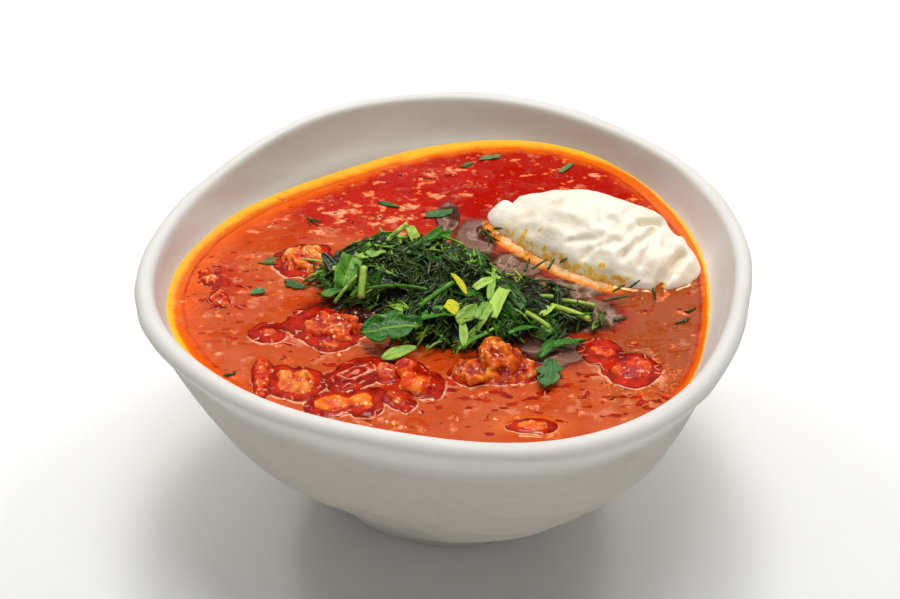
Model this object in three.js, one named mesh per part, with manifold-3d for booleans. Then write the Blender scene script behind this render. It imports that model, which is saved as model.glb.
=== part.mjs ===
// Borscht in a hand-shaped stoneware bowl: beetroot broth with pieces of vegetable just
// breaking its surface, a heap of chopped dill and parsley, and a spoonful of soured cream.
// Millimetres, +Z up. The bowl stands on z = 0, its rim centred over the origin.

import * as THREE from "three";
import { mergeVertices } from "three/addons/utils/BufferGeometryUtils.js";
import Module from "manifold-3d";

const wasm = await Module();
wasm.setup();

// ---------------------------------------------------------------- driving dimensions

const GAP = 0.4; // clearance between neighbouring solids

// The bowl
const RIM_CENTRE = [2.4, -1.0]; // the middle that the rim's waves are measured from
const FOOT_CENTRE = [1.6, -1.0];
const RIM_RADIUS = 82.1; // to the middle of the rounded lip
const RIM_HEIGHT = 81.0;
const LIP_RADIUS = 2.7;
const FOOT_RADIUS = 29.5;
const FOOT_RING = 5.0; // width of the ring that the bowl stands on
const FOOT_RECESS = 1.6;
const FLOOR_HEIGHT = 7.5; // top of the bowl's floor
const BOWL_SEGMENTS = 50;

// The rim isn't round or level. Each row: waves round the rim, size, angle of a crest.
const RIM_SWAY = [
  { waves: 2, size: 1.8, crest: 76 },
  { waves: 3, size: 2.9, crest: 66 },
  { waves: 4, size: 0.3, crest: 14 },
  { waves: 5, size: 0.4, crest: 5 },
  { waves: 6, size: 0.3, crest: 3 },
];
const RIM_LIFT = [
  { waves: 1, size: 0.75, crest: 111 },
  { waves: 2, size: 1.2, crest: 110 },
  { waves: 3, size: 1.7, crest: 2 },
  { waves: 4, size: 0.4, crest: 18 },
  { waves: 8, size: 0.25, crest: -12 },
];
const BELLY_SWAY = [{ waves: 3, size: 2.0, crest: 51 }]; // a swelling half way up the wall

// The broth
const SOUP_LEVEL = 71.7;
const MENISCUS = 0.8; // how far the broth climbs the wall
const MENISCUS_REACH = 2.5;
const SOUP_RINGS = 9;
const SOUP_LUMPS = 40; // shreds that lift the surface from just below it
const LUMP_WIDTH = [4, 7];
const LUMP_HEIGHT = [0.4, 1.0];
const LUMP_SEED = 11;

// The soured cream: one long spoonful, laid down from back left to front right
const CREAM = { at: [41.4, 17.2], yaw: -30, long: 33.4, front: 15.0, back: 11.5 };
const CREAM_HEIGHT = 14.5; // above the broth
const CREAM_SINK = 3.0;
const CREAM_LEAN = 5.0; // how far the crest lies behind the middle
// Peaks and creases: place along and across, height, and how wide.
const CREAM_FOLDS = [
  { along: -31, across: 6, high: 3.5, wide: 3.2 },
  { along: -8, across: -4, high: 1.2, wide: 6 },
  { along: 4, across: -9, high: -1.0, wide: 4 },
  { along: 8, across: 1, high: 0.9, wide: 5 },
  { along: 15, across: 12, high: 2.2, wide: 4 },
  { along: 17, across: -5, high: 1.4, wide: 5 },
  { along: 22, across: 7, high: -1.2, wide: 3 },
  { along: 24, across: -8, high: -2.4, wide: 3 },
  { along: 28, across: 3, high: 2.4, wide: 4 },
  { along: 31, across: -6, high: 1.6, wide: 4 },
];

// The herbs: low mounds that run together
const HERB_MOUNDS = [
  { at: [-9, 0], half: [25, 14.5, 7.5], yaw: -8, seed: 21 },
  { at: [16, -11], half: [24, 13.5, 5.0], yaw: -18, seed: 22 },
  { at: [3, -22], half: [19, 8.5, 5.5], yaw: -6, seed: 23 },
];
const HERB_SINK = 1.5;
const DILL_PIECES = 58;
const DILL_LENGTH = [6, 12];
const DILL_WIDTH = 1.3;
const HERB_SEED = 5;

// ---------------------------------------------------------------- small helpers

const rad = THREE.MathUtils.degToRad;

// A repeatable random source, 0 to 1.
function randomFrom(seed) {
  let state = seed >>> 0;
  return () => {
    state = (state + 0x6d2b79f5) >>> 0;
    let t = Math.imul(state ^ (state >>> 15), 1 | state);
    t = (t + Math.imul(t ^ (t >>> 7), 61 | t)) ^ t;
    return ((t ^ (t >>> 14)) >>> 0) / 4294967296;
  };
}

const between = (random, [low, high]) => low + (high - low) * random();

// Sum of the waves in a table such as RIM_SWAY, at an angle in radians.
function wavesAt(table, angle) {
  return table.reduce(
    (sum, { waves, size, crest }) => sum + size * Math.cos(waves * (angle - rad(crest))),
    0,
  );
}

// Moves every vertex of a geometry: `move` gets a Vector3 and changes it.
function bend(geometry, move) {
  const position = geometry.attributes.position;
  const point = new THREE.Vector3();
  for (let i = 0; i < position.count; i++) {
    point.fromBufferAttribute(position, i);
    move(point);
    position.setXYZ(i, point.x, point.y, point.z);
  }
  return geometry;
}

// A closed geometry as a manifold-3d solid.
function solidOf(geometry) {
  geometry.deleteAttribute("normal");
  geometry.deleteAttribute("uv");
  const merged = mergeVertices(geometry, 1e-4);
  return new wasm.Manifold(
    new wasm.Mesh({
      numProp: 3,
      vertProperties: new Float32Array(merged.attributes.position.array),
      triVerts: new Uint32Array(merged.index.array),
    }),
  );
}

// A cut can leave a loose scrap: only the largest piece is kept.
function largest(solid) {
  return solid.decompose().reduce((a, b) => (b.volume() > a.volume() ? b : a));
}

const crosses = (solid, other) => !solid.intersect(other).isEmpty();

// ---------------------------------------------------------------- the bowl

// How much of the rim's unevenness reaches a height: none at the foot, all at the rim.
function handShare(z) {
  const up = THREE.MathUtils.clamp(z / RIM_HEIGHT, 0, 1);
  return 1 - (1 - up) ** 2;
}

// How far the wall stands out at an angle and height, for each mm of its radius.
function handSway(angle, z) {
  const up = THREE.MathUtils.clamp(z / RIM_HEIGHT, 0, 1);
  const rim = handShare(z) * wavesAt(RIM_SWAY, angle);
  const belly = 4 * up * (1 - up) * wavesAt(BELLY_SWAY, angle);
  return 1 + (rim + belly) / RIM_RADIUS;
}

const handLift = (angle, z) => handShare(z) ** 2 * wavesAt(RIM_LIFT, angle);

// Turns a round shape about the Z axis into the bowl's uneven one.
function shapeByHand(point) {
  const angle = Math.atan2(point.y, point.x);
  const up = THREE.MathUtils.clamp(point.z / RIM_HEIGHT, 0, 1);
  const radius = Math.hypot(point.x, point.y) * handSway(angle, point.z);
  point.x = radius * Math.cos(angle) + THREE.MathUtils.lerp(FOOT_CENTRE[0], RIM_CENTRE[0], up);
  point.y = radius * Math.sin(angle) + THREE.MathUtils.lerp(FOOT_CENTRE[1], RIM_CENTRE[1], up);
  point.z += handLift(angle, point.z);
}

const lineThrough = (pairs) =>
  new THREE.SplineCurve(pairs.map(([radius, z]) => new THREE.Vector2(radius, z)));

// The wall's outer and inner lines, from the foot up, in [radius, height].
const OUTER_LINE = lineThrough([
  [FOOT_RADIUS, 0],
  [47.4, 19.5],
  [64.6, 39],
  [75.4, 58.5],
  [RIM_RADIUS - 0.3, RIM_HEIGHT - 4.6],
]);
const INNER_LINE = lineThrough([
  [0, FLOOR_HEIGHT],
  [20, FLOOR_HEIGHT + 1.5],
  [40, 21.5],
  [56.5, 39],
  [65.8, 55.5],
  [71.2, 67.8],
  [75.9, 73.5],
  [RIM_RADIUS - LIP_RADIUS * Math.cos(rad(35)), RIM_HEIGHT - LIP_RADIUS * Math.sin(rad(35))],
]);

// The rounded lip, from just outside the wall over to its inside.
function lipPoints(count) {
  const from = rad(-40);
  const to = rad(200);
  return Array.from({ length: count }, (_, i) => {
    const turn = from + ((to - from) * i) / (count - 1);
    return new THREE.Vector2(
      RIM_RADIUS + LIP_RADIUS * Math.cos(turn),
      RIM_HEIGHT + LIP_RADIUS * Math.sin(turn),
    );
  });
}

// Turns a [radius, height] profile about Z, then gives it the bowl's uneven shape.
function revolve(profile) {
  const lathe = new THREE.LatheGeometry(profile, BOWL_SEGMENTS).rotateX(Math.PI / 2);
  return solidOf(bend(lathe, shapeByHand));
}

function bowl() {
  return revolve([
    new THREE.Vector2(0, FOOT_RECESS),
    new THREE.Vector2(FOOT_RADIUS - FOOT_RING - 1, FOOT_RECESS),
    new THREE.Vector2(FOOT_RADIUS - FOOT_RING, 0),
    ...OUTER_LINE.getPoints(6),
    ...lipPoints(6),
    ...INNER_LINE.getPoints(8).reverse(),
  ]);
}

// ---------------------------------------------------------------- the broth

const INNER_POINTS = INNER_LINE.getPoints(80);

// Radius of the bowl's inside at the broth's level, about the rim's centre.
function wallRadius(angle) {
  const level = SOUP_LEVEL - handLift(angle, SOUP_LEVEL);
  const above = INNER_POINTS.findIndex((point) => point.y >= level);
  const [low, high] = [INNER_POINTS[above - 1], INNER_POINTS[above]];
  const radius = THREE.MathUtils.mapLinear(level, low.y, high.y, low.x, high.x);
  return radius * handSway(angle, SOUP_LEVEL);
}

// Shreds just below the surface, kept off the herbs and the cream.
function soupLumps() {
  const random = randomFrom(LUMP_SEED);
  const lumps = [];
  while (lumps.length < SOUP_LUMPS) {
    const angle = between(random, [0, 2 * Math.PI]);
    const out = Math.sqrt(random()) * 68;
    const x = RIM_CENTRE[0] + out * Math.cos(angle);
    const y = RIM_CENTRE[1] + out * Math.sin(angle);
    const lump = { x, y, wide: between(random, LUMP_WIDTH), high: between(random, LUMP_HEIGHT) };
    const underHerbs = Math.hypot((x - 3) / 40, (y + 8) / 26) < 1;
    const underCream = Math.hypot(x - CREAM.at[0], y - CREAM.at[1]) < CREAM.long;
    if (!underHerbs && !underCream) lumps.push(lump);
  }
  return lumps;
}

const LUMPS = soupLumps();

// Height of the broth's surface at a point, `toWall` mm from the wall.
function surfaceHeight(x, y, toWall) {
  const climb = MENISCUS * Math.exp(-Math.max(0, toWall) / MENISCUS_REACH);
  const bumps = LUMPS.map(({ x: cx, y: cy, wide, high }) => {
    const away = Math.hypot(x - cx, y - cy) / wide;
    return away < 1 ? high * (1 - away * away) ** 2 : 0;
  });
  return SOUP_LEVEL + climb + Math.max(...bumps);
}

// A slab a little wider than the bowl's inside, with the broth's surface on top, `raise` mm
// higher than it lies. Its rings are closer together near the wall.
function surfaceSlab(raise = 0) {
  const rim = 1.04;
  const rings = Array.from({ length: SOUP_RINGS + 1 }, (_, i) => (i / SOUP_RINGS) ** 0.8 * rim);
  const profile = [
    new THREE.Vector2(0, 0),
    new THREE.Vector2(rim, 0),
    ...rings.reverse().map((share) => new THREE.Vector2(share, 1)),
  ];
  const lathe = new THREE.LatheGeometry(profile, BOWL_SEGMENTS).rotateX(Math.PI / 2);
  return solidOf(
    bend(lathe, (point) => {
      const angle = Math.atan2(point.y, point.x);
      const share = Math.hypot(point.x, point.y);
      const wall = wallRadius(angle);
      point.x = RIM_CENTRE[0] + share * wall * Math.cos(angle);
      point.y = RIM_CENTRE[1] + share * wall * Math.sin(angle);
      if (point.z > 0.5) point.z = raise + surfaceHeight(point.x, point.y, (1 - share) * wall);
    }),
  );
}

// The inside of the bowl, a gap smaller all round.
function cavity() {
  const line = INNER_LINE.getPoints(8);
  const inset = line.map((point, i) => {
    const ahead = line[Math.min(i + 1, line.length - 1)];
    const behind = line[Math.max(i - 1, 0)];
    const along = new THREE.Vector2().subVectors(ahead, behind).normalize();
    return new THREE.Vector2(Math.max(0, point.x - GAP * along.y), point.y + GAP * along.x);
  });
  inset[0].x = 0;
  return revolve([...inset, new THREE.Vector2(0, inset.at(-1).y)]);
}

// ---------------------------------------------------------------- the soured cream

// A ball drawn out along the spoonful, flat below, its crest leaning back.
function cream(grow = 0) {
  const ball = new THREE.SphereGeometry(1, 20, 14).rotateZ(Math.PI / 2);
  const turn = new THREE.Euler(0, 0, rad(CREAM.yaw));
  return solidOf(
    bend(ball, (point) => {
      const fuller = 1 + 0.3 * point.x; // the front right end is the thicker one
      const side = point.y < 0 ? CREAM.front : CREAM.back;
      const along = point.x * CREAM.long;
      const across = point.y * side * fuller + CREAM_LEAN * Math.max(0, point.z) ** 1.5;
      const folds = CREAM_FOLDS.reduce((sum, fold) => {
        const away = Math.hypot(along - fold.along, across - fold.across) / fold.wide;
        return sum + fold.high * Math.exp(-(away ** 2));
      }, 0);
      const above = Math.max(0, point.z);
      const crest = CREAM_HEIGHT * (1 - 0.5 * point.x ** 2);
      const top = above ** 0.9 * crest + folds * Math.min(1, above * 2.5);
      const below = Math.min(1, -point.z * 1.6) * -CREAM_SINK;
      const spread = 1 + grow / 12;
      point.set(along * spread, across * spread, point.z > 0 ? top + grow : below - grow);
      point.applyEuler(turn).add(new THREE.Vector3(...CREAM.at, SOUP_LEVEL));
    }),
  );
}

// ---------------------------------------------------------------- pieces of vegetable

// A ball pushed towards a box (`square` 2 is a ball, 6 nearly a box), scaled to its half
// sizes, roughened by slow waves, turned by `yaw` and `lean`, and set with its top `rise`
// above the broth. `grow` makes the same shape larger all round.
function lump(shape, grow = 0) {
  const { at, half, rise, yaw = 0, lean = 0, square = 2.6, rough = 0.12, seed = 1 } = shape;
  const random = randomFrom(seed);
  const waves = Array.from({ length: 5 }, () => ({
    along: new THREE.Vector3(random() - 0.5, random() - 0.5, random() - 0.5).setLength(
      between(random, [2.2, 4.5]),
    ),
    start: between(random, [0, 2 * Math.PI]),
  }));
  const turn = new THREE.Euler(rad(lean), 0, rad(yaw), "ZXY");
  const centre = new THREE.Vector3(at[0], at[1], SOUP_LEVEL + rise - half[2]);
  const grown = new THREE.Vector3(...half).addScalar(grow);
  const ball = new THREE.IcosahedronGeometry(1, 1);
  return solidOf(
    bend(ball, (point) => {
      const power = [point.x, point.y, point.z].reduce((sum, v) => sum + Math.abs(v) ** square, 0);
      const uneven = waves.reduce((sum, w) => sum + Math.sin(w.along.dot(point) + w.start), 0);
      point.multiplyScalar(power ** (-1 / square) * (1 + (rough * uneven) / 2));
      point.multiply(grown).applyEuler(turn).add(centre);
    }),
  );
}

// Every piece that shows above the broth. A piece of several lumps is one solid.
const VEGETABLES = {
  potato_back: [
    { at: [-39.1, 9.6], half: [6.4, 6.2, 4.6], rise: 3.4, yaw: 28, lean: 8, square: 3.6, seed: 3 },
  ],
  tomato_middle: [
    { at: [-35.2, -20.6], half: [6.0, 7.0, 3.6], rise: 1.8, yaw: 20, rough: 0.2, seed: 4 },
    { at: [-30.2, -24.6], half: [7.2, 6.8, 3.8], rise: 2.6, yaw: -30, rough: 0.24, seed: 6 },
  ],
  tomato_left: [
    { at: [-64.0, 1.6], half: [3.6, 7.0, 3.4], rise: 1.5, yaw: 14, rough: 0.2, seed: 12 },
    { at: [-61.5, -8.0], half: [3.2, 5.6, 3.0], rise: 1.3, yaw: -8, rough: 0.2, seed: 14 },
  ],
  pepper_small: [{ at: [-46.9, -25.0], half: [3.8, 4.0, 2.6], rise: 1.4, yaw: 10, seed: 16 }],
  carrot_strip: [
    { at: [-46.9, -43.7], half: [1.9, 8.2, 2.2], rise: 2.6, yaw: 3, square: 4, seed: 18 },
  ],
  potato_front_left: [
    { at: [-38.4, -46.4], half: [5.2, 6.6, 4.0], rise: 2.6, yaw: 32, lean: 14, square: 3, seed: 9 },
  ],
  bean_front: [
    { at: [-28.3, -54.2], half: [5.6, 4.6, 3.6], rise: 1.9, yaw: -6, seed: 24, rough: 0.05 },
    { at: [-20.4, -54.0], half: [5.2, 4.6, 3.2], rise: 1.5, yaw: 8, seed: 26, rough: 0.22 },
  ],
  cabbage_shell: [
    { at: [-22.9, -42.0], half: [8.2, 4.4, 3.4], rise: 2.0, yaw: 30, rough: 0.16, seed: 28 },
  ],
  onion_middle: [{ at: [-15.0, -41.6], half: [3.6, 4.4, 3.0], rise: 1.8, yaw: 20, seed: 30 }],
  carrot_middle: [
    { at: [-7.4, -46.6], half: [6.0, 5.6, 3.8], rise: 2.2, yaw: -12, rough: 0.18, seed: 32 },
    { at: [-9.6, -41.6], half: [3.2, 3.0, 3.6], rise: 4.4, yaw: 40, square: 3, seed: 34 },
  ],
  pepper_front: [
    { at: [-12.0, -52.6], half: [2.4, 5.4, 2.8], rise: 1.8, yaw: 35, rough: 0.1, seed: 36 },
  ],
  tomato_front: [
    { at: [7.2, -41.8], half: [4.6, 4.8, 4.4], rise: 3.8, yaw: 10, rough: 0.14, seed: 38 },
    { at: [14.6, -38.4], half: [6.4, 5.4, 6.4], rise: 7.0, yaw: -12, rough: 0.2, seed: 40 },
    { at: [21.4, -41.2], half: [3.8, 3.4, 3.8], rise: 3.2, yaw: 0, rough: 0.12, seed: 42 },
    { at: [13.6, -43.2], half: [5.6, 3.6, 3.6], rise: 2.4, yaw: 0, rough: 0.12, seed: 44 },
  ],
  carrot_right: [
    { at: [47.8, -40.8], half: [5.6, 6.6, 3.6], rise: 1.9, yaw: -22, rough: 0.14, seed: 46 },
    { at: [41.6, -33.4], half: [4.6, 2.8, 2.4], rise: 1.2, yaw: -24, rough: 0.12, seed: 48 },
  ],
  bean_right: [
    { at: [21.6, -63.1], half: [6.6, 3.3, 2.6], rise: 1.3, yaw: -4, rough: 0.05, seed: 50 },
  ],
  beet_strip: [
    { at: [-21.0, -18.4], half: [8.0, 2.6, 2.2], rise: 2.2, yaw: -28, square: 4, seed: 52 },
  ],
};

const joined = (shapes, grow = 0) =>
  shapes.map((shape) => lump(shape, grow)).reduce((a, b) => a.add(b));

// ---------------------------------------------------------------- herbs

// A leaf: a thin wavy blade, pointed at the far end and lobed along both sides.
function leaf({ at, size, yaw = 0, lean = 0, roll = 0, lift = 0, lobes = 3 }, grow = 0) {
  const [long, wide] = size;
  const blade = new THREE.BoxGeometry(1, 1, 1, 3, 2, 1);
  const turn = new THREE.Euler(rad(roll), rad(-lean), rad(yaw), "ZYX");
  const centre = new THREE.Vector3(at[0], at[1], SOUP_LEVEL + lift);
  return solidOf(
    bend(blade, (point) => {
      const along = point.x + 0.5;
      const full = Math.sin(Math.PI * (0.1 + 0.86 * along ** 0.8));
      const lobed = full * (0.78 + 0.22 * Math.cos(2 * Math.PI * lobes * along));
      const wave = 0.09 * wide * Math.sin(5 * along + 3 * point.y);
      point.set(
        point.x * (long + 2 * grow),
        point.y * 2 * (grow + (wide / 2) * lobed),
        point.z * (0.5 + 2 * grow) + wave - Math.abs(point.y) * 0.12 * wide,
      );
      point.applyEuler(turn).add(centre);
    }),
  );
}

// A stalk: a round bar with five sides, arched upwards by `arch` at its middle.
function stalk({ at, long, thick, yaw = 0, lean = 0, lift = 0, arch = 0 }) {
  const bar = new THREE.CylinderGeometry(thick / 2, thick / 2.4, long, 5, 2).rotateZ(Math.PI / 2);
  const turn = new THREE.Euler(0, rad(-lean), rad(yaw), "ZYX");
  const centre = new THREE.Vector3(at[0], at[1], SOUP_LEVEL + lift);
  return solidOf(
    bend(bar, (point) => {
      point.z += arch * (1 - (2 * point.x / long) ** 2);
      point.applyEuler(turn).add(centre);
    }),
  );
}

// A piece of chopped dill: a thin spindle.
function dill({ at, long, yaw, lean, lift }) {
  const spindle = new THREE.OctahedronGeometry(1).scale(long / 2, DILL_WIDTH / 2, DILL_WIDTH / 3);
  const turn = new THREE.Euler(0, rad(-lean), rad(yaw), "ZYX");
  return solidOf(
    bend(spindle, (point) => {
      point.applyEuler(turn).add(new THREE.Vector3(at[0], at[1], SOUP_LEVEL + lift));
    }),
  );
}

// One mound of the heap's core.
function mound({ at, half, yaw, seed }, grow = 0) {
  const random = randomFrom(seed);
  const waves = Array.from({ length: 6 }, () => ({
    along: new THREE.Vector2(random() - 0.5, random() - 0.5).setLength(between(random, [4, 9])),
    start: between(random, [0, 2 * Math.PI]),
  }));
  const turn = new THREE.Euler(0, 0, rad(yaw));
  return solidOf(
    bend(new THREE.IcosahedronGeometry(1, 2), (point) => {
      const uneven = waves.reduce((sum, w) => sum + Math.sin(w.along.dot(point) + w.start), 0);
      const out = 1 + 0.045 * uneven;
      point.x *= half[0] * out + grow;
      point.y *= half[1] * out + grow;
      point.z *= point.z > 0 ? half[2] * (1 + 0.08 * uneven) + grow : HERB_SINK + grow;
      point.applyEuler(turn).add(new THREE.Vector3(at[0], at[1], SOUP_LEVEL));
    }),
  );
}

const herbCore = (grow = 0) =>
  HERB_MOUNDS.map((shape) => mound(shape, grow)).reduce((a, b) => a.add(b));

// Height of the core above the broth at a point, or less than 0 off it.
function coreHeight(x, y) {
  const heights = HERB_MOUNDS.map(({ at, half, yaw }) => {
    const local = new THREE.Vector2(x - at[0], y - at[1]).rotateAround(
      new THREE.Vector2(),
      rad(-yaw),
    );
    const out = (local.x / half[0]) ** 2 + (local.y / half[1]) ** 2;
    return out < 1 ? half[2] * Math.sqrt(1 - out) : -1;
  });
  return Math.max(...heights);
}

// The leaves and stalks that show on top of the heap.
const HEAP_LEAVES = [
  { at: [-23.5, -2.5], size: [13, 8], yaw: 70, lean: 20, roll: 20, lift: 6.5, lobes: 2 },
  { at: [-14.5, -25.5], size: [15, 10], yaw: 12, lean: 8, roll: -14, lift: 3.6 },
  { at: [-9.5, -31.0], size: [10, 5], yaw: 14, lean: 0, roll: -10, lift: 2.2, lobes: 2 },
  { at: [1.5, -20.0], size: [12, 8], yaw: 30, lean: 12, roll: -20, lift: 7.0 },
  { at: [11.5, -17.5], size: [10, 7], yaw: 62, lean: 14, roll: 10, lift: 6.4 },
  { at: [19.5, -16.5], size: [13, 6], yaw: 66, lean: 10, roll: -16, lift: 5.6, lobes: 2 },
  { at: [16.5, -24.5], size: [12, 6], yaw: 95, lean: -8, roll: 12, lift: 4.6, lobes: 2 },
  { at: [6.0, -28.5], size: [11, 6], yaw: 40, lean: 0, roll: -16, lift: 3.8, lobes: 2 },
  { at: [-6.0, -26.5], size: [9, 5], yaw: -20, lean: 6, roll: -14, lift: 4.6, lobes: 2 },
  { at: [2.0, 3.5], size: [11, 5], yaw: 48, lean: 10, roll: 20, lift: 7.4, lobes: 2 },
  { at: [-17.0, 6.0], size: [11, 5], yaw: 28, lean: 0, roll: 30, lift: 6.6, lobes: 2 },
  { at: [30.0, -24.0], size: [10, 5], yaw: 14, lean: -4, roll: -10, lift: 3.4, lobes: 2 },
];
const HEAP_STALKS = [
  { at: [-14.2, 6.0], long: 12, thick: 2.0, yaw: 40, lean: 34, lift: 9.6 },
  { at: [-8.6, 6.6], long: 9, thick: 2.4, yaw: -58, lean: -42, lift: 9.8 },
  { at: [-18.8, -7.0], long: 9, thick: 2.2, yaw: 82, lean: 12, lift: 6.4 },
  { at: [-26.0, -9.0], long: 9, thick: 1.4, yaw: 50, lean: 6, lift: 4.4 },
  { at: [2.5, -10.5], long: 13, thick: 1.6, yaw: 40, lean: 12, lift: 7.6 },
  { at: [33.0, -11.0], long: 13, thick: 1.4, yaw: -12, lean: -4, lift: 3.8 },
  { at: [33.5, -15.5], long: 14, thick: 1.8, yaw: -18, lean: -4, lift: 3.6 },
  { at: [13.0, -9.0], long: 8, thick: 1.6, yaw: -60, lean: -10, lift: 6.4 },
];

// Chopped dill over the whole heap, lying along its slope.
function heapDill() {
  const random = randomFrom(HERB_SEED);
  const pieces = [];
  while (pieces.length < DILL_PIECES) {
    const at = [between(random, [-38, 42]), between(random, [-34, 17])];
    const high = coreHeight(...at);
    if (high < 0.6) continue;
    const yaw = between(random, [0, 360]);
    const step = [Math.cos(rad(yaw)), Math.sin(rad(yaw))];
    const ahead = coreHeight(at[0] + step[0], at[1] + step[1]);
    const slope = ahead < 0 ? -15 : THREE.MathUtils.radToDeg(Math.atan(ahead - high));
    const lean = THREE.MathUtils.clamp(slope + between(random, [-14, 14]), -40, 40);
    pieces.push({ at, long: between(random, DILL_LENGTH), yaw, lean, lift: high + 0.5 });
  }
  return pieces;
}

// Sets a piece down on the heap, raising it up to 2 mm until it is clear of its neighbours.
function settle(make, shape, neighbours) {
  for (const raise of [0, 0.5, 1, 1.5, 2]) {
    const piece = make({ ...shape, lift: shape.lift + raise });
    if (!crosses(piece, neighbours)) return piece;
  }
  return null;
}

function herbHeap(neighbours) {
  const pieces = [
    ...HEAP_LEAVES.map((shape) => settle(leaf, shape, neighbours)),
    ...HEAP_STALKS.map((shape) => settle(stalk, shape, neighbours)),
    ...heapDill().map((shape) => settle(dill, shape, neighbours)),
  ].filter(Boolean);
  return largest(pieces.reduce((heap, piece) => heap.add(piece), herbCore()));
}

// Leaves and dill that lie on the broth, away from the heap.
const FLOATING_LEAVES = [
  { at: [-49.5, 9.0], size: [8, 4.5], yaw: 10, lift: 0.1, lobes: 2 },
  { at: [-42.5, -2.0], size: [7, 4.5], yaw: 30, lift: 0.2, lobes: 2 },
  { at: [-51.5, -5.0], size: [4, 3], yaw: 60, lift: 0.2, lobes: 1 },
  { at: [-16.2, 40.0], size: [7, 3.5], yaw: -18, lift: 0.2, lobes: 2 },
  { at: [-0.5, 32.5], size: [8, 5], yaw: 8, lift: 0.2, lobes: 2 },
  { at: [4.5, 64.0], size: [6, 3], yaw: 24, lift: 0.2, lobes: 1 },
  { at: [14.0, 67.0], size: [8, 3], yaw: 0, lift: 0.2, lobes: 2 },
];
const FLOATING_DILL = [
  { at: [-38.5, 34.0], long: 9, yaw: -24 },
  { at: [-55.5, -41.5], long: 6, yaw: 4 },
  { at: [64.0, -19.1], long: 7, yaw: 22 },
  { at: [66.4, -13.6], long: 6, yaw: 12 },
  { at: [48.0, -17.4], long: 8, yaw: -10 },
  { at: [10.5, 23.0], long: 9, yaw: -62 },
  { at: [26.0, 4.6], long: 8, yaw: 66 },
  { at: [31.0, -0.6], long: 8, yaw: -20 },
  { at: [37.0, -5.2], long: 9, yaw: 12 },
];
const LEAF_FRONT = { at: [26.5, -43.8], size: [11, 6.5], yaw: 84, roll: 0, lift: 1.0, lobes: 2 };

// ---------------------------------------------------------------- the broth, cut to fit

// The broth fills the bowl round everything that sits in it. What floats on it is part of it.
function broth(pockets) {
  const open = largest(cavity().intersect(surfaceSlab()).subtract(pockets));
  const floating = [
    ...FLOATING_LEAVES.map((shape) => leaf(shape)),
    ...FLOATING_DILL.map((shape) => dill({ ...shape, lean: 0, lift: 0.1 })),
  ].filter((piece) => !crosses(piece, pockets));
  return largest(floating.reduce((made, piece) => made.add(piece), open));
}

// ---------------------------------------------------------------- assembly

const part = new THREE.Group();

function add(name, solid, material) {
  const mesh = solid.getMesh();
  const geometry = new THREE.BufferGeometry();
  geometry.setAttribute("position", new THREE.BufferAttribute(mesh.vertProperties, 3));
  geometry.setIndex(new THREE.BufferAttribute(mesh.triVerts, 1));
  geometry.computeVertexNormals();
  const piece = new THREE.Mesh(geometry, material);
  piece.name = name;
  part.add(piece);
}

const finish = (color, roughness) => new THREE.MeshStandardMaterial({ color, roughness });
const GLAZE = finish(0xe4dfd6, 0.3);
const BROTH = finish(0xb8300c, 0.12);
const SOURED_CREAM = finish(0xf4ede1, 0.45);
const HERB = finish(0x3c6a20, 0.5);
const POTATO = finish(0xe08a3c, 0.4);
const CARROT = finish(0xd8641c, 0.35);
const TOMATO = finish(0xc23c10, 0.3);
const BEET = finish(0x4a1010, 0.3);
const MATERIAL_OF = {
  potato_back: POTATO,
  potato_front_left: POTATO,
  bean_front: POTATO,
  bean_right: POTATO,
  onion_middle: POTATO,
  carrot_strip: CARROT,
  carrot_middle: CARROT,
  carrot_right: CARROT,
  beet_strip: BEET,
};

// Each piece of vegetable gives way to the ones before it, and to the cream and the herbs.
// `taken` grows to the space that everything but the broth and the bowl keeps clear.
const corePocket = herbCore(GAP);
const vegetables = {};
let taken = cream(GAP).add(corePocket).add(leaf(LEAF_FRONT, GAP));
for (const [name, shapes] of Object.entries(VEGETABLES)) {
  vegetables[name] = largest(joined(shapes).subtract(taken));
  taken = taken.add(joined(shapes, GAP));
}
const roundTheHeap = taken.add(surfaceSlab(GAP)).subtract(corePocket);

add("bowl", bowl(), GLAZE);
add("soup", broth(taken), BROTH);
add("sour_cream", cream(), SOURED_CREAM);
add("herb_heap", herbHeap(roundTheHeap), HERB);
add("parsley_leaf_front", leaf(LEAF_FRONT), HERB);
for (const [name, solid] of Object.entries(vegetables)) {
  add(name, solid, MATERIAL_OF[name] ?? TOMATO);
}

export default part;
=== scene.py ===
"""Borscht in a hand-shaped stoneware bowl: the finished surfaces round the fixed frame.

Every shape is built in millimetres, +Z up, with the bowl standing on z = 0, and is scaled to
metres when it becomes a piece.
"""

import math
import random

import bmesh
import bpy
from mathutils import Euler, Matrix, Vector, noise
from mathutils.bvhtree import BVHTree


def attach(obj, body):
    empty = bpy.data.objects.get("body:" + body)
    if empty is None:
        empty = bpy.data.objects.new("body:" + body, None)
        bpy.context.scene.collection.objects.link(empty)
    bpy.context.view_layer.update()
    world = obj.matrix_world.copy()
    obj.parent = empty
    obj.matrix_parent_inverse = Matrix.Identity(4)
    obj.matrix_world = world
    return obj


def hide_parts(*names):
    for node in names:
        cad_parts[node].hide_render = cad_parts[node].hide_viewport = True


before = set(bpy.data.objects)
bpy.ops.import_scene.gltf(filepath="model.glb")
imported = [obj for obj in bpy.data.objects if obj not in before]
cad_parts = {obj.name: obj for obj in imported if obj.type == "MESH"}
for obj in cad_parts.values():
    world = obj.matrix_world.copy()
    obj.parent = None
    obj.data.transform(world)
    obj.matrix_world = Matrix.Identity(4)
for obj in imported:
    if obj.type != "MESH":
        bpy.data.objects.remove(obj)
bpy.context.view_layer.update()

# ---------------------------------------------------------------- sizes, in millimetres

MM = 0.001

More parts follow.
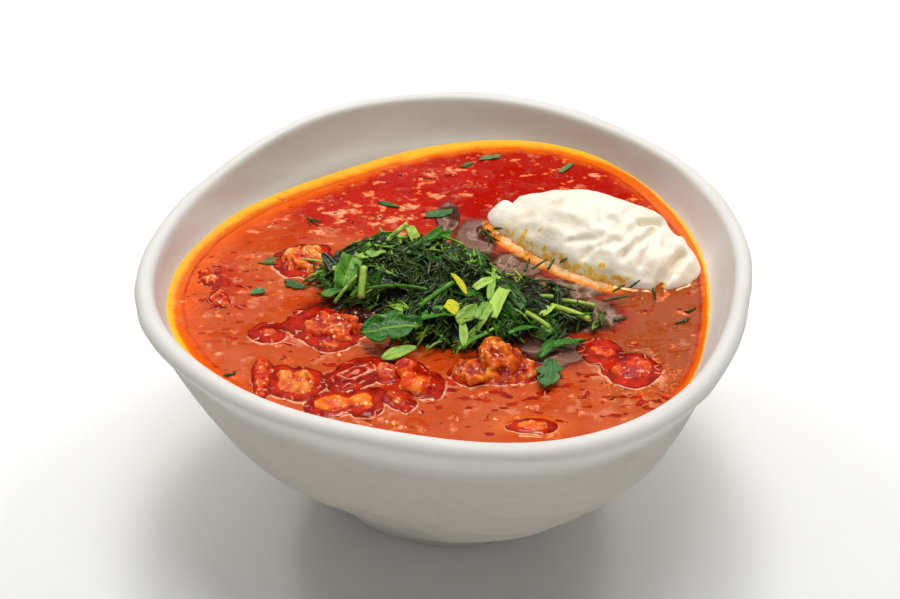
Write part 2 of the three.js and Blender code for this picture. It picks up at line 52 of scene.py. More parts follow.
# The bowl, as the frame has it
RIM_CENTRE = Vector((2.4, -1.0))
FOOT_CENTRE = Vector((1.6, -1.0))
RIM_RADIUS = 82.1
RIM_HEIGHT = 81.0
LIP_RADIUS = 2.7
LIP_START = math.radians(-40)  # where the outside wall meets the round lip
LIP_END = math.radians(156)  # where the inside wall leaves it
LIP_STEPS = 14
FOOT_RADIUS = 29.5
FOOT_RING = 5.0
FOOT_RECESS = 1.6
FLOOR_HEIGHT = 7.5
BOWL_STEPS = 240
# Waves round the rim: how many, their size, and the angle of a crest in degrees
RIM_SWAY = [(2, 1.8, 76), (3, 2.9, 66), (4, 0.3, 14), (5, 0.4, 5), (6, 0.3, 3)]
RIM_LIFT = [(1, 0.75, 111), (2, 1.2, 110), (3, 1.7, 2), (4, 0.4, 18), (8, 0.25, -12)]
BELLY_SWAY = [(3, 2.0, 51)]
OUTER_LINE = [(FOOT_RADIUS, 0), (47.4, 19.5), (64.6, 39), (75.4, 58.5), (81.8, 76.4)]
INNER_LINE = [
    (0, FLOOR_HEIGHT),
    (20, FLOOR_HEIGHT + 1.5),
    (40, 21.5),
    (56.5, 39),
    (65.8, 55.5),
    (71.2, 67.8),
    (75.9, 73.5),
    (RIM_RADIUS + LIP_RADIUS * math.cos(LIP_END), RIM_HEIGHT + LIP_RADIUS * math.sin(LIP_END)),
]

# The broth
SOUP_LEVEL = 71.7
SOUP_GRID = 280
INTO_WALL = 0.9  # how far the broth's edge reaches into the wall, so that no gap shows
MEASURED_AT = SOUP_LEVEL + 0.7  # the height at which the pieces' distances are measured
# How high the broth is drawn up the wall, a vegetable, the cream and the heap, and over
# what reach
WALL_CLIMB, WALL_REACH = 0.8, 2.2
CHUNK_CLIMB, CHUNK_REACH = 1.0, 2.0
CREAM_CLIMB, CREAM_REACH = 1.0, 1.8
HEAP_CLIMB, HEAP_REACH = 0.6, 2.2

# The herbs: centre, half sizes, turn in degrees of each mound
HERB_MOUNDS = [
    ((-9, 0), (25, 14.5, 7.5), -8),
    ((16, -12), (24, 12.5, 3.8), -18),
    ((3, -22), (19, 8.5, 5.5), -6),
]

# ---------------------------------------------------------------- small helpers


def clamp(value, low=0.0, high=1.0):
    return max(low, min(high, value))


def smooth(value, low, high):
    """0 at `low` and beyond, 1 at `high` and beyond, and a soft step between them."""
    share = clamp((value - low) / (high - low))
    return share * share * (3 - 2 * share)


def hump(value, middle, width):
    """1 at `middle`, falling off softly over `width` to either side."""
    return math.exp(-(((value - middle) / width) ** 2))


def rough(x, y, size, seed=0.0):
    """Smooth noise over the plan, -1 to 1, with features about `size` across."""
    return noise.noise(Vector((x / size, y / size, seed)))


def turned(dx, dy, degrees):
    """An offset, in the axes of something turned by `degrees`."""
    c, s = math.cos(math.radians(degrees)), math.sin(math.radians(degrees))
    return c * dx + s * dy, c * dy - s * dx


def from_screen(red, green, blue):
    """A colour as seen on a screen, 0 to 255, as the light it stands for."""
    return tuple(
        c / 12.92 if c <= 0.04045 else ((c + 0.055) / 1.055) ** 2.4
        for c in (red / 255, green / 255, blue / 255)
    ) + (1.0,)


def waves_at(table, angle):
    return sum(size * math.cos(waves * (angle - math.radians(crest))) for waves, size, crest in table)


def spline(points, count):
    """`count` + 1 points along a smooth curve through the given ones."""
    made = []
    for i in range(count + 1):
        place = (len(points) - 1) * i / count
        start = min(int(place), len(points) - 2)
        t = place - start
        before = points[max(start - 1, 0)]
        after = points[min(start + 2, len(points) - 1)]
        point = []
        for p0, p1, p2, p3 in zip(before, points[start], points[start + 1], after):
            leave = (p2 - p0) / 2
            arrive = (p3 - p1) / 2
            cubic = (2 * p1 - 2 * p2 + leave + arrive) * t**3
            square = (3 * p2 - 3 * p1 - 2 * leave - arrive) * t**2
            point.append(cubic + square + leave * t + p1)
        made.append(tuple(point))
    return made


def around(table, angle):
    """Softly reads a table of (degrees, value) rows, rising from -180, all the way round."""
    degrees = math.degrees(angle)
    rows = [(table[-1][0] - 360, table[-1][1])] + table + [(table[0][0] + 360, table[0][1])]
    for (a0, v0), (a1, v1) in zip(rows, rows[1:]):
        if a0 <= degrees <= a1:
            return v0 + (v1 - v0) * smooth(degrees, a0, a1)
    return table[0][1]


def from_line(x, y, points):
    """Distance from a point of the plan to a line through `points`."""
    best = 1e9
    for (ax, ay), (bx, by) in zip(points, points[1:]):
        dx, dy = bx - ax, by - ay
        t = clamp(((x - ax) * dx + (y - ay) * dy) / (dx * dx + dy * dy))
        best = min(best, math.hypot(x - ax - t * dx, y - ay - t * dy))
    return best


def spot(x, y, middle, half):
    """1 at `middle`, falling off softly over the half sizes `half` to its sides."""
    return math.exp(-(((x - middle[0]) / half[0]) ** 2) - ((y - middle[1]) / half[1]) ** 2)


def spots(x, y, table):
    """The strongest of a table of spots: middle, half sizes, how much."""
    return max(much * spot(x, y, middle, half) for middle, half, much in table)


# ---------------------------------------------------------------- shader maths


class Shade:
    """An output of a shader node. A sum or product with it adds the node that works it out."""

    def __init__(self, tree, output=None):
        self.tree = tree
        self.output = output

    def node(self, kind, settings=None, inputs=None, take=0):
        """Adds a node: its settings first, then the values or links of its sockets."""
        made = self.tree.nodes.new(kind)
        for name, value in (settings or {}).items():
            setattr(made, name, value)
        for name, value in (inputs or {}).items():
            if isinstance(value, Shade):
                self.tree.links.new(value.output, made.inputs[name])
            else:
                made.inputs[name].default_value = value
        return Shade(self.tree, made.outputs[take])

    def maths(self, operation, other, swap=False):
        kind = "ShaderNodeMath"
        if self.output.type == "VECTOR":
            kind = "ShaderNodeVectorMath"
            if isinstance(other, (int, float)):
                other = (other, other, other)
        first, second = (other, self) if swap else (self, other)
        return self.node(kind, {"operation": operation}, {0: first, 1: second})

    def __add__(self, other):
        return self.maths("ADD", other)

    def __radd__(self, other):
        return self.maths("ADD", other, swap=True)

    def __sub__(self, other):
        return self.maths("SUBTRACT", other)

    def __rsub__(self, other):
        return self.maths("SUBTRACT", other, swap=True)

    def __mul__(self, other):
        return self.maths("MULTIPLY", other)

    def __rmul__(self, other):
        return self.maths("MULTIPLY", other, swap=True)

    def __abs__(self):
        return self.node("ShaderNodeMath", {"operation": "ABSOLUTE"}, {0: self})

    def fraction(self):
        return self.node("ShaderNodeMath", {"operation": "FRACT"}, {0: self})

    def step(self, low, high):
        """0 at `low`, 1 at `high`, and a soft step between them."""
        settings = {"interpolation_type": "SMOOTHSTEP"}
        return self.node("ShaderNodeMapRange", settings, {0: self, 1: low, 2: high})

    def blend(self, low, high):
        """The colour `low` where this is 0, and `high` where it is 1.

        A colour is the output of a node, or red, green and blue as seen on a screen.
        """
        low, high = (from_screen(*end) if isinstance(end, tuple) else end for end in (low, high))
        return self.node("ShaderNodeMix", {"data_type": "RGBA"}, {0: self, 6: low, 7: high}, take=2)

    def noise(self, size, detail=2.0, roughness=0.5):
        """Cloudy noise over this place, 0 to 1, with features about `size` across."""
        inputs = {"Vector": self, "Scale": 1 / size, "Detail": detail, "Roughness": roughness}
        return self.node("ShaderNodeTexNoise", {}, inputs)

    def height(self):
        """The Z of this place."""
        return self.node("ShaderNodeSeparateXYZ", {}, {0: self}, take=2)


def give(shader, constants):
    """Sets the constants of a shader, by the names of its sockets with _ for a space."""
    for socket, value in constants.items():
        shader.inputs[socket.replace("_", " ")].default_value = value


class Finish:
    """A material with one shader: its constants, the place on it in mm, and what varies."""

    def __init__(self, name, **constants):
        self.material = bpy.data.materials.new(name)
        self.material.use_nodes = True
        tree = self.material.node_tree
        self.shader = tree.nodes["Principled BSDF"]
        self.start = Shade(tree)
        give(self.shader, constants)
        place = self.start.node("ShaderNodeTexCoord", take=3)
        self.place = place * (1 / MM)

    def painted(self, name):
        """A value painted on the mesh."""
        return self.start.node("ShaderNodeAttribute", {"attribute_name": name}, take=2)

    def set(self, socket, value):
        self.start.tree.links.new(value.output, self.shader.inputs[socket])

    def relief(self, height):
        """Raises the surface's shading by `height`, in mm."""
        self.set("Normal", self.start.node("ShaderNodeBump", {}, {"Distance": MM, "Height": height}))

    def beside(self, share, **constants):
        """Mixes in `share` of a second shader, alike but for its constants."""
        tree = self.start.tree
        other = tree.nodes.new("ShaderNodeBsdfPrincipled")
        give(other, constants)
        for name in ("Base Color", "Normal"):
            tree.links.new(self.shader.inputs[name].links[0].from_socket, other.inputs[name])
        first = Shade(tree, self.shader.outputs[0])
        second = Shade(tree, other.outputs[0])
        mixed = self.start.node("ShaderNodeMixShader", {}, {0: share, 1: first, 2: second})
        tree.links.new(mixed.output, tree.nodes["Material Output"].inputs["Surface"])


# ---------------------------------------------------------------- materials


def stoneware_glaze():
    made = Finish("stoneware_glaze", Roughness=0.5, IOR=1.45, Specular_IOR_Level=0.3)
    cloud = made.place.noise(26, 3)
    body = cloud.step(0.35, 0.7).blend((223, 220, 215), (219, 215, 208))
    # Painted shade: the outside wall below the lip is painted greyer, and the inside wall at the back
    # darker and tinted against the broth's red bounce light, in place of the shade that falls there
    body = made.painted("outside").blend(body, (190, 184, 174))
    body = made.painted("inside").blend(body, (198, 195, 182))
    made.set("Base Color", body)
    made.set("Roughness", made.place.noise(9, 3) * 0.14 + 0.43)
    strokes = (made.place * (1.0, 1.0, 1.8)).noise(16, 2, 0.45) * 2.2
    made.relief((strokes + made.place.noise(7, 3) * 0.16) * (made.painted("outside") * 0.8 + 0.2))
    return made.material


# The broth's colours, as seen on a screen
DEEP_RED, CLOUDY_ORANGE = (170, 12, 1), (188, 61, 8)
MIST, BROWN, SPICE = (198, 88, 44), (156, 62, 18), (226, 96, 10)
BRIGHT_RED, FLECK_GLINT, FLECK_HIGHLIGHT, PALE_SHEEN = (184, 20, 2), (220, 96, 44), (236, 156, 118), (226, 146, 108)
GLOW, HAZE, WALL_RED = (236, 112, 22), (226, 84, 6), (150, 24, 3)
FILM_DARK, FILM_GREY_SHEEN, FILM_LINE_HIGHLIGHT = (74, 30, 18), (128, 92, 78), (186, 156, 140)
FILM_EDGE, HEAP_SHADE_COLOUR = (150, 14, 4), (34, 14, 6)
CLEAR_RED, CLEAR_DARK, CONTOUR_DARK_REFLECTION = (198, 38, 3), (126, 6, 1), (104, 5, 1)
STREAK_HIGHLIGHT, CLEAR_RIM_HIGHLIGHT = (244, 172, 138), (242, 176, 140)
MELTED_ORANGE_SHADED, MELTED_CREAM_SHADED = (240, 138, 30), (238, 200, 146)
OIL_ORANGE, OIL_YELLOW = (226, 98, 5), (252, 186, 46)


def beetroot_broth():
    tint = (1.0, 0.7, 0.3, 1.0)
    made = Finish("beetroot_broth", Roughness=0.04, IOR=1.36, Specular_Tint=tint)
    cloud = made.place.noise(8, 4, 0.6)
    grain = made.place.noise(0.9, 3, 0.7)
    crisp = made.place.noise(2.6, 3, 0.6)
    edge = (cloud - 0.5) * 0.5 + (grain - 0.5) * 0.3
    # The cloudy surface, from deep red through orange to brown; towards the front the orange is partly
    # a cloudy film and partly painted sheen, the warm light the broth mirrors there
    base = (made.painted("murk_and_sheen") + edge * 1.3).step(0.0, 0.8).blend(DEEP_RED, CLOUDY_ORANGE)
    mist = made.place.noise(15, 3).step(0.38, 0.64) * made.painted("murk_and_sheen").step(0.2, 0.9)
    base = (mist * 0.65).blend(base, MIST)
    base = (made.painted("brown") + edge).step(0.1, 0.9).blend(base, BROWN)
    speck = grain + made.painted("spice") * 0.16
    base = speck.step(0.66, 0.7).blend(base, SPICE)
    # Bright red where there are flecks, and on it pale flecks: painted reflections of the lamps on
    # small ripples
    flecks = made.painted("flecks")
    base = (flecks + edge).step(0.2, 0.8).blend(base, BRIGHT_RED)
    lace = (made.place * (0.7, 1.0, 1.0)).noise(3.4, 4, 0.6) + (cloud - 0.5) * 0.35
    fleck = lace + flecks * 0.12
    base = fleck.step(0.63, 0.65).blend(base, FLECK_GLINT)
    base = fleck.step(0.68, 0.72).blend(base, FLECK_HIGHLIGHT)
    # Pale salmon patches: painted reflection of the lamps
    pale = made.place.noise(6.0, 3, 0.6) + made.painted("broken") * 0.1
    base = (pale.step(0.6, 0.72) * 0.45).blend(base, PALE_SHEEN)
    base = (made.painted("glow") + edge * 0.3).step(0.15, 0.9).blend(base, GLOW)
    haze = made.painted("haze") + edge
    base = haze.step(0.2, 0.9).blend(base, HAZE)
    # The grey film, with a red edge and fine pale lines; its grey partly and its lines wholly are
    # painted sheen of the lamps
    film = made.place.noise(8.0, 1.5, 0.5)
    scum_and_sheen = film.step(0.42, 0.5).blend(FILM_DARK, FILM_GREY_SHEEN)
    line = film.step(0.485, 0.5) * film.step(0.53, 0.51) * grain.step(0.3, 0.6)
    scum_and_sheen = (line * 0.6).blend(scum_and_sheen, FILM_LINE_HIGHLIGHT)
    herbal = made.painted("herbal") + edge * 0.7
    base = (herbal.step(0.1, 0.4) * 0.8).blend(base, FILM_EDGE)
    herbal = herbal.step(0.38, 0.6)
    base = herbal.blend(base, scum_and_sheen)
    # Painted shade, near black, on the broth at the heap's edge and beside its shaded side
    base = (made.painted("under") + edge * 0.3).step(0.1, 0.9).blend(base, HEAP_SHADE_COLOUR)
    # Where it is clear and lies over something: saturated, with a dark contour, a painted dark
    # reflection strongest behind a piece
    ragged = made.place.noise(5.5, 1.2)
    away = made.painted("near") * 1.3 + (ragged - 0.5) * 3.0 + (crisp - 0.5) * 0.05
    pits = (made.place * (0.55, 1.0, 1.0)).noise(2.4, 2, 0.5)
    patch = pits + made.painted("broken") * 0.15
    islands = patch.step(0.69, 0.71)
    clear = 1 - (1 - away.step(2.6, 2.3)) * (1 - islands)
    deep = made.place.noise(4.0, 2) + (crisp - 0.5) * 0.3
    body = deep.step(0.3, 0.7).blend(CLEAR_RED, CLEAR_DARK)
    ahead = made.painted("ahead")
    dark_reflection_line = away.step(1.5, 2.2) * away.step(2.6, 2.4) * (0.9 - ahead * 0.5)
    dark_reflection_line = dark_reflection_line + patch.step(0.68, 0.695) * patch.step(0.72, 0.705) * 0.5
    body = (dark_reflection_line * 0.8).blend(body, CONTOUR_DARK_REFLECTION)
    # Thin pale streaks in the clear parts: painted highlights
    ridge = abs((made.place * (0.7, 1.0, 1.0)).noise(5.0, 1.5) - 0.5)
    highlight_streak = ridge.step(0.02, 0.006) * cloud.step(0.46, 0.54) * away.step(0.3, 1.0)
    body = (highlight_streak * 0.75).blend(body, STREAK_HIGHLIGHT)
    base = clear.blend(base, body)
    # A pale rim outside the clear border, in front of a piece: painted highlight
    rim = away.step(2.4, 2.7) * away.step(3.8, 3.1) * crisp.step(0.4, 0.5) * ahead
    base = (rim * 0.8).blend(base, CLEAR_RIM_HIGHLIGHT)
    # The cream's melted edge, painted a little darker than its own colour as shade to match the cream's
    # shaded foot, and the oil at the wall
    milky = made.painted("milky") * (cloud * 2.4 + crisp * 1.6 - 1.0)
    cloudy = milky.step(0.5, 0.95).blend(MELTED_ORANGE_SHADED, MELTED_CREAM_SHADED)
    base = milky.step(0.12, 0.5).blend(base, cloudy)
    oil = edge * 0.8 + (crisp - 0.5) * 0.5
    base = (made.painted("orange") + oil * 0.8).step(0.0, 1.0).blend(base, OIL_ORANGE)
    base = (made.painted("yellow") + oil).step(0.1, 1.1).blend(base, OIL_YELLOW)
    base = made.painted("line").blend(base, WALL_RED)
    made.set("Base Color", base)
    unrest = made.painted("broken") + flecks
    wave = made.place.noise(5.0, 3) * (unrest * 0.35 + 0.06)
    torn = crisp * unrest * 0.5 + grain * 0.008
    made.relief(wave + torn + clear * 0.4 + film * herbal * 2.0)
    bare = (made.painted("bare") + edge * 0.6).step(0.2, 0.8) * fleck.step(0.65, 0.63)
    made.beside(1 - (1 - clear * 0.95) * (1 - bare * 0.85), Roughness=0.06, IOR=1.18)
    return made.material


def soured_cream_finish():
    made = Finish(
        "soured_cream",
        Roughness=0.36,
        IOR=1.4,
        Subsurface_Weight=0.4,
        Subsurface_Radius=(1.0, 0.8, 0.5),
        Subsurface_Scale=0.004,
    )
    thick = made.place.noise(6, 3).step(0.4, 0.8)
    base = thick.blend((248, 238, 220), (244, 230, 206))
    blotch = made.place.noise(2.6, 4, 0.65)
    stain = made.painted("stain") + (blotch - 0.5) * 2.2
    base = stain.step(0.3, 0.65).blend(base, (255, 236, 188))
    base = stain.step(0.62, 0.78).blend(base, (255, 200, 84))
    base = stain.step(0.95, 1.15).blend(base, (242, 124, 20))
    made.set("Base Color", base)
    made.relief(made.place.noise(2.2, 3, 0.6) * 0.3)
    return made.material


def vegetable_finish(name, flesh, shade, ridge_highlight, grain, drowned=(188, 26, 2)):
    """Cooked and wet: red where the broth covers it, its own colour on top, with painted shade in
    hollows, painted highlight on ridges and painted glints.
    """
    made = Finish(
        name,
        Roughness=0.08,
        IOR=1.32,
        Subsurface_Weight=0.2,
        Subsurface_Radius=(1.0, 0.3, 0.1),
        Subsurface_Scale=0.0015,
    )
    above = made.place.height() - SOUP_LEVEL
    fleck = made.place.noise(grain, 3, 0.6)
    cloud = made.place.noise(grain * 2.4, 3)
    ridge = made.painted("ridge") + (fleck - 0.5) * 1.6
    # Darker in hollows, darkest red in the deepest, and paler on ridges: painted shade and painted
    # highlight
    base = ridge.step(-0.4, 0.3).blend(shade, flesh)
    base = ridge.step(0.3, 0.9).blend(base, ridge_highlight)
    base = ridge.step(-0.3, -0.9).blend(base, (138, 12, 1))
    wet = above + (cloud - 0.5) * 3.0
    base = wet.step(0.4, 1.3).blend(drowned, base)
    base = wet.step(0.7, 0.0).blend(base, (124, 7, 1))
    # Pale specks above the broth: painted glints of light on wet places
    painted_glints = made.place.noise(1.3, 2, 0.6).step(0.6, 0.66) * wet.step(0.2, 1.0)
    base = (painted_glints * 0.7).blend(base, (255, 214, 158))
    made.set("Base Color", base)
    made.relief(cloud * 0.8 + fleck * 0.7 + made.place.noise(0.7, 2) * 0.16)
    return made.material


# Each cut herb: its dark, middle and light parts
LEAF_COLOURS = {
    "dill": ((1, 5, 1), (9, 45, 4), (150, 194, 64)),
    "parsley": ((3, 21, 2), (46, 120, 15), (178, 210, 92)),
    "wet_leaf": ((20, 54, 18), (66, 112, 54), (120, 156, 96)),
}


def leaf_finish(name, dark, mid, light):
    """Cut leaf: darker to paler by its tone, with a pale vein and side veins."""
    made = Finish(name, Roughness=0.12, IOR=1.38)
    # The painted tone is partly painted shade and light, set by where a bit lies in the heap
    tone = made.painted("tone") + (made.place.noise(2.6, 3) - 0.5) * 0.5
    base = tone.step(0.0, 0.5).blend(dark, mid)
    base = tone.step(0.45, 1.0).blend(base, light)
    side = abs(made.painted("side"))
    branch = abs((made.painted("along") * 5.0 - side * 1.6).fraction() - 0.5)
    vein = side.step(0.13, 0.03) + branch.step(0.4, 0.5) * 0.45
    base = (vein * 0.35).blend(base, light)
    base = made.painted("lime").step(0.2, 0.8).blend(base, (206, 202, 28))
    made.set("Base Color", base)
    made.relief(vein * -0.12 + made.place.noise(1.1, 3) * 0.3)
    return made.material


def herb_core_finish():
    made = Finish("wet_shaded_herb_core", Roughness=0.3, IOR=1.36)
    # Near black, partly painted shade deep in the heap; brown-grey where the heap is loose, the colour
    # of wet film and partly its painted sheen
    tone = made.place.noise(1.1, 4, 0.7)
    wet = (made.painted("loose") + (made.place.noise(5, 2) - 0.5)).step(0.3, 0.7)
    base = wet.blend((6, 24, 4), (112, 80, 66))
    made.set("Base Color", tone.step(0.4, 0.7).blend((2, 5, 1), base))
    made.relief(made.place.noise(1.4, 4, 0.7) * 1.2)
    return made.material


def pale_floor():
    made = Finish("pale_floor", Roughness=0.9)
    tone = made.place.noise(400, 2)
    made.set("Base Color", tone.blend((240, 238, 234), (243, 241, 238)))
    return made.material


# ---------------------------------------------------------------- pieces


def in_scene(name, data):
    """A new object of the scene, for a mesh, a lamp or a camera."""
    made = bpy.data.objects.new(name, data)
    bpy.context.scene.collection.objects.link(made)
    return made


def as_mesh(name, bm):
    mesh = bpy.data.meshes.new(name)
    bm.to_mesh(mesh)
    bm.free()
    return mesh


def in_millimetres(mesh):
    """A copy, to work on, of a mesh in metres."""
    bm = bmesh.new()
    bm.from_mesh(mesh)
    bmesh.ops.scale(bm, vec=(1 / MM, 1 / MM, 1 / MM), verts=bm.verts)
    return bm


def as_piece(name, bm, material, slot, *nodes):
    """Turns a mesh built in millimetres into a piece that rides on the bowl's body."""
    bmesh.ops.scale(bm, vec=(MM, MM, MM), verts=bm.verts)
    mesh = as_mesh(name, bm)
    mesh.shade_smooth()
    mesh.materials.append(material)
    piece = in_scene(name, mesh)
    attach(piece, "root")
    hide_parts(*nodes)
    return piece


def frame_copy(node):
    """A merged copy of a node of the frame, in millimetres."""
    bm = in_millimetres(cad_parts[node].data)
    bmesh.ops.remove_doubles(bm, verts=bm.verts, dist=0.01)
    return bm


def remeshed(bm, voxel):
    """The same closed shape, rebuilt with even faces about `voxel` across."""
    mesh = as_mesh("remesh", bm)
    shape = in_scene("remesh", mesh)
    remesh = shape.modifiers.new("even", "REMESH")
    remesh.mode = "VOXEL"
    remesh.voxel_size = voxel
    made = bmesh.new()
    made.from_object(shape, bpy.context.evaluated_depsgraph_get())
    bpy.data.objects.remove(shape)
    bpy.data.meshes.remove(mesh)
    return made


def relax(bm, rounds, factor=0.5):
    """Evens a mesh out, a little more with every round."""
    for _ in range(rounds):
        bmesh.ops.smooth_vert(
            bm, verts=bm.verts, factor=factor, use_axis_x=True, use_axis_y=True, use_axis_z=True
        )


def push_out(bm, amount):
    """Moves every point along its normal by `amount(place, normal)`."""
    bm.normal_update()
    moved = [(v, v.co + v.normal * amount(v.co, v.normal)) for v in bm.verts]
    for v, place in moved:
        v.co = place


# ---------------------------------------------------------------- the bowl


def hand_share(z):
    """How much of the rim's unevenness reaches a height: none at the foot, all at the rim."""
    return 1 - (1 - clamp(z / RIM_HEIGHT)) ** 2


def hand_sway(angle, z):
    """How wide the bowl is at an angle and a height, as a share of the round shape."""
    up = clamp(z / RIM_HEIGHT)
    rim = hand_share(z) * waves_at(RIM_SWAY, angle)
    belly = 4 * up * (1 - up) * waves_at(BELLY_SWAY, angle)
    return 1 + (rim + belly) / RIM_RADIUS


def hand_lift(angle, z):
    """How far the uneven rim lifts the wall at an angle and a height."""
    return hand_share(z) ** 2 * waves_at(RIM_LIFT, angle)


def shaped_by_hand(place):
    """A point of a round shape, moved to the bowl's uneven one."""
    angle = math.atan2(place.y, place.x)
    radius = math.hypot(place.x, place.y) * hand_sway(angle, place.z)
    middle = FOOT_CENTRE.lerp(RIM_CENTRE, clamp(place.z / RIM_HEIGHT))
    return Vector((
        middle.x + radius * math.cos(angle),
        middle.y + radius * math.sin(angle),
        place.z + hand_lift(angle, place.z),
    ))


def bowl_profile():
    foot = FOOT_RADIUS - FOOT_RING
    lip = []
    for i in range(LIP_STEPS + 1):
        turn = LIP_START + (LIP_END - LIP_START) * i / LIP_STEPS
        lip.append((RIM_RADIUS + LIP_RADIUS * math.cos(turn), RIM_HEIGHT + LIP_RADIUS * math.sin(turn)))
    outer = spline(OUTER_LINE, 26)
    inner = spline(INNER_LINE, 30)
    recess = [(0, FOOT_RECESS), (foot / 2, FOOT_RECESS), (foot - 1, FOOT_RECESS), (foot - 0.3, 0.3)]
    return recess + [(foot + 0.4, 0), (FOOT_RADIUS - 0.6, 0)] + outer[1:-1] + lip[:-1] + inner[::-1]


def hand_marks(place, normal):
    """The marks of hands and brush: dents and creases outside, softer ones inside."""
    angle = math.atan2(place.y, place.x)
    out = math.hypot(place.x, place.y)
    if normal.x * place.x + normal.y * place.y < 0:
        soft = noise.noise(Vector((place.x / 19, place.y / 19, place.z / 22)))
        return 0.5 * soft * smooth(place.z, 60, 70) * (1 - smooth(place.z, 77, 80))
    slant = Vector((math.cos(angle) * 3.4, math.sin(angle) * 3.4, (place.z + out * 0.35) / 17))
    crease = abs(noise.noise(slant + Vector((3.1, 0, 0))))
    dent = noise.noise(Vector((place.x / 26, place.y / 26, place.z / 17)))
    round_lip = Vector((math.cos(angle), math.sin(angle), 2.0))
    lip = 0.4 * noise.noise(round_lip * 4) + 0.3 * noise.noise(round_lip * 9)
    body = smooth(place.z, 3, 12) * (1 - smooth(place.z, 68, 77))
    return body * (1.3 * dent - 1.1 * (1 - smooth(crease, 0.0, 0.1))) + lip * smooth(place.z, 74, 79)


def make_bowl(glaze):
    bm = bmesh.new()
    line = [bm.verts.new((radius, 0, z)) for radius, z in bowl_profile()]
    edges = [bm.edges.new(pair) for pair in zip(line, line[1:])]
    bmesh.ops.spin(
        bm,
        geom=line + edges,
        cent=(0, 0, 0),
        axis=(0, 0, 1),
        angle=2 * math.pi,
        steps=BOWL_STEPS,
        use_merge=True,
    )
    bmesh.ops.remove_doubles(bm, verts=bm.verts, dist=0.001)
    bmesh.ops.recalc_face_normals(bm, faces=bm.faces)
    for v in bm.verts:
        v.co = shaped_by_hand(v.co)
    # Masks of the glaze's painted shade: the outside wall below the lip, and the inside wall towards
    # the back
    outside = bm.verts.layers.float.new("outside")
    inside = bm.verts.layers.float.new("inside")
    bm.normal_update()
    for v in bm.verts:
        inwards = -(v.normal.x * v.co.x + v.normal.y * v.co.y) / max(math.hypot(v.co.x, v.co.y), 1.0)
        v[outside] = smooth(inwards, 0.1, -0.7) * (1 - smooth(v.co.z, 70, 77))
        v[inside] = smooth(inwards, 0.3, 0.8) * smooth(v.co.y - 0.3 * abs(v.co.x), 0, 40)
    push_out(bm, hand_marks)
    bowl = as_piece("hand_shaped_bowl", bm, glaze, "glaze", "bowl")
    soften = bowl.modifiers.new("soften", "SUBSURF")
    soften.levels = 1
    soften.render_levels = 1


INNER_POINTS = spline(INNER_LINE, 160)


def inner_radius(z):
    """Radius of the round shape's inside at a height."""
    for (r0, z0), (r1, z1) in zip(INNER_POINTS, INNER_POINTS[1:]):
        if z0 <= z <= z1:
            return r0 + (r1 - r0) * (z - z0) / max(z1 - z0, 1e-6)
    return INNER_POINTS[-1][0]


# ---------------------------------------------------------------- the broth

# Where something lies just under the surface and lifts it: place, half sizes, turn in
# degrees, height, and how torn the surface is
SWELLINGS = [
    ((-34.0, 39.6), (3.0, 2.4), 0, 0.30, 0.8),
    ((-30.6, 36.0), (3.4, 3.4), 30, 0.34, 0.8),
    ((-26.0, 30.2), (4.4, 3.2), 20, 0.42, 1.0),
    ((-17.3, 31.6), (4.6, 3.6), -20, 0.42, 1.0),
    ((-8.3, 33.6), (5.6, 4.4), 10, 0.46, 1.0),
    ((-15.6, 58.6), (4.4, 3.2), 0, 0.30, 0.9),
    ((-3.9, 56.4), (9.0, 3.6), -8, 0.36, 1.0),
    ((2.2, 45.6), (5.2, 3.4), 0, 0.42, 0.8),
    ((3.9, 35.4), (3.4, 7.6), 0, 0.60, 0.2),
    ((-11.5, 47.6), (2.6, 2.2), 0, 0.30, 0.6),
    ((-35.4, 24.6), (7.0, 4.6), 0, 0.36, 0.5),
    ((-54.1, 11.5), (4.7, 3.0), 8, 0.80, 0.3),
    ((-52.5, 4.8), (2.4, 1.9), 0, 0.55, 0.3),
    ((-55.9, -7.0), (4.0, 1.6), -6, 0.55, 0.6),
    ((-56.1, -26.2), (5.6, 1.8), -14, 0.50, 1.0),
    ((-63.2, -14.0), (2.6, 2.8), 0, 0.80, 0.2),
    ((-68.2, -6.9), (4.0, 3.0), 0, 0.50, 1.0),
    ((-13.2, -60.5), (1.9, 3.2), 10, 0.70, 0.4),
    ((-7.4, -62.3), (2.2, 2.2), 20, 0.70, 0.5),
    ((-21.7, -61.2), (3.8, 1.0), 0, 0.40, 0.6),
    ((23.6, -54.2), (4.0, 1.5), -4, 0.70, 0.2),
    ((34.8, -56.5), (2.4, 2.0), 10, 0.60, 0.6),
    ((44.3, -53.0), (5.4, 1.4), 4, 0.50, 0.9),
    ((27.7, -45.5), (3.8, 2.4), 30, 0.60, 0.7),
    ((29.5, -34.3), (2.2, 1.6), -20, 0.55, 0.4),
    ((32.8, -27.8), (2.0, 1.2), -20, 0.50, 0.4),
    ((52.2, -51.9), (3.2, 1.5), 0, 0.60, 0.6),
    ((45.3, -58.4), (4.0, 2.6), 10, 0.50, 1.0),
    ((42.7, -28.8), (5.6, 2.0), -18, 0.70, 0.4),
    ((33.1, -49.3), (4.6, 2.8), 0, 0.40, 1.0),
    ((12.4, -50.1), (3.6, 3.4), 0, 0.40, 1.0),
    ((2.8, -59.0), (1.5, 1.1), 0, 0.45, 0.0),
    ((12.9, -58.7), (1.6, 1.4), 0, 0.50, 0.2),
]
STRAY_SWELLINGS = 130
STRAY_SEED = 11
STRAY_REACH = 69  # from the rim's centre
STRAY_CLEAR = ((3, -8), (40, 26))  # the heap's surroundings, left without: middle, half sizes
SWELLING_REACH = 1.6  # where a swelling ends, in its half sizes
SWELLING_SHIFT = 1.1  # how far noise moves its outline
SWELLING_MARGIN = 1.5  # allowed for that, when they are sorted into cells
SWELLING_CELL = 8.0

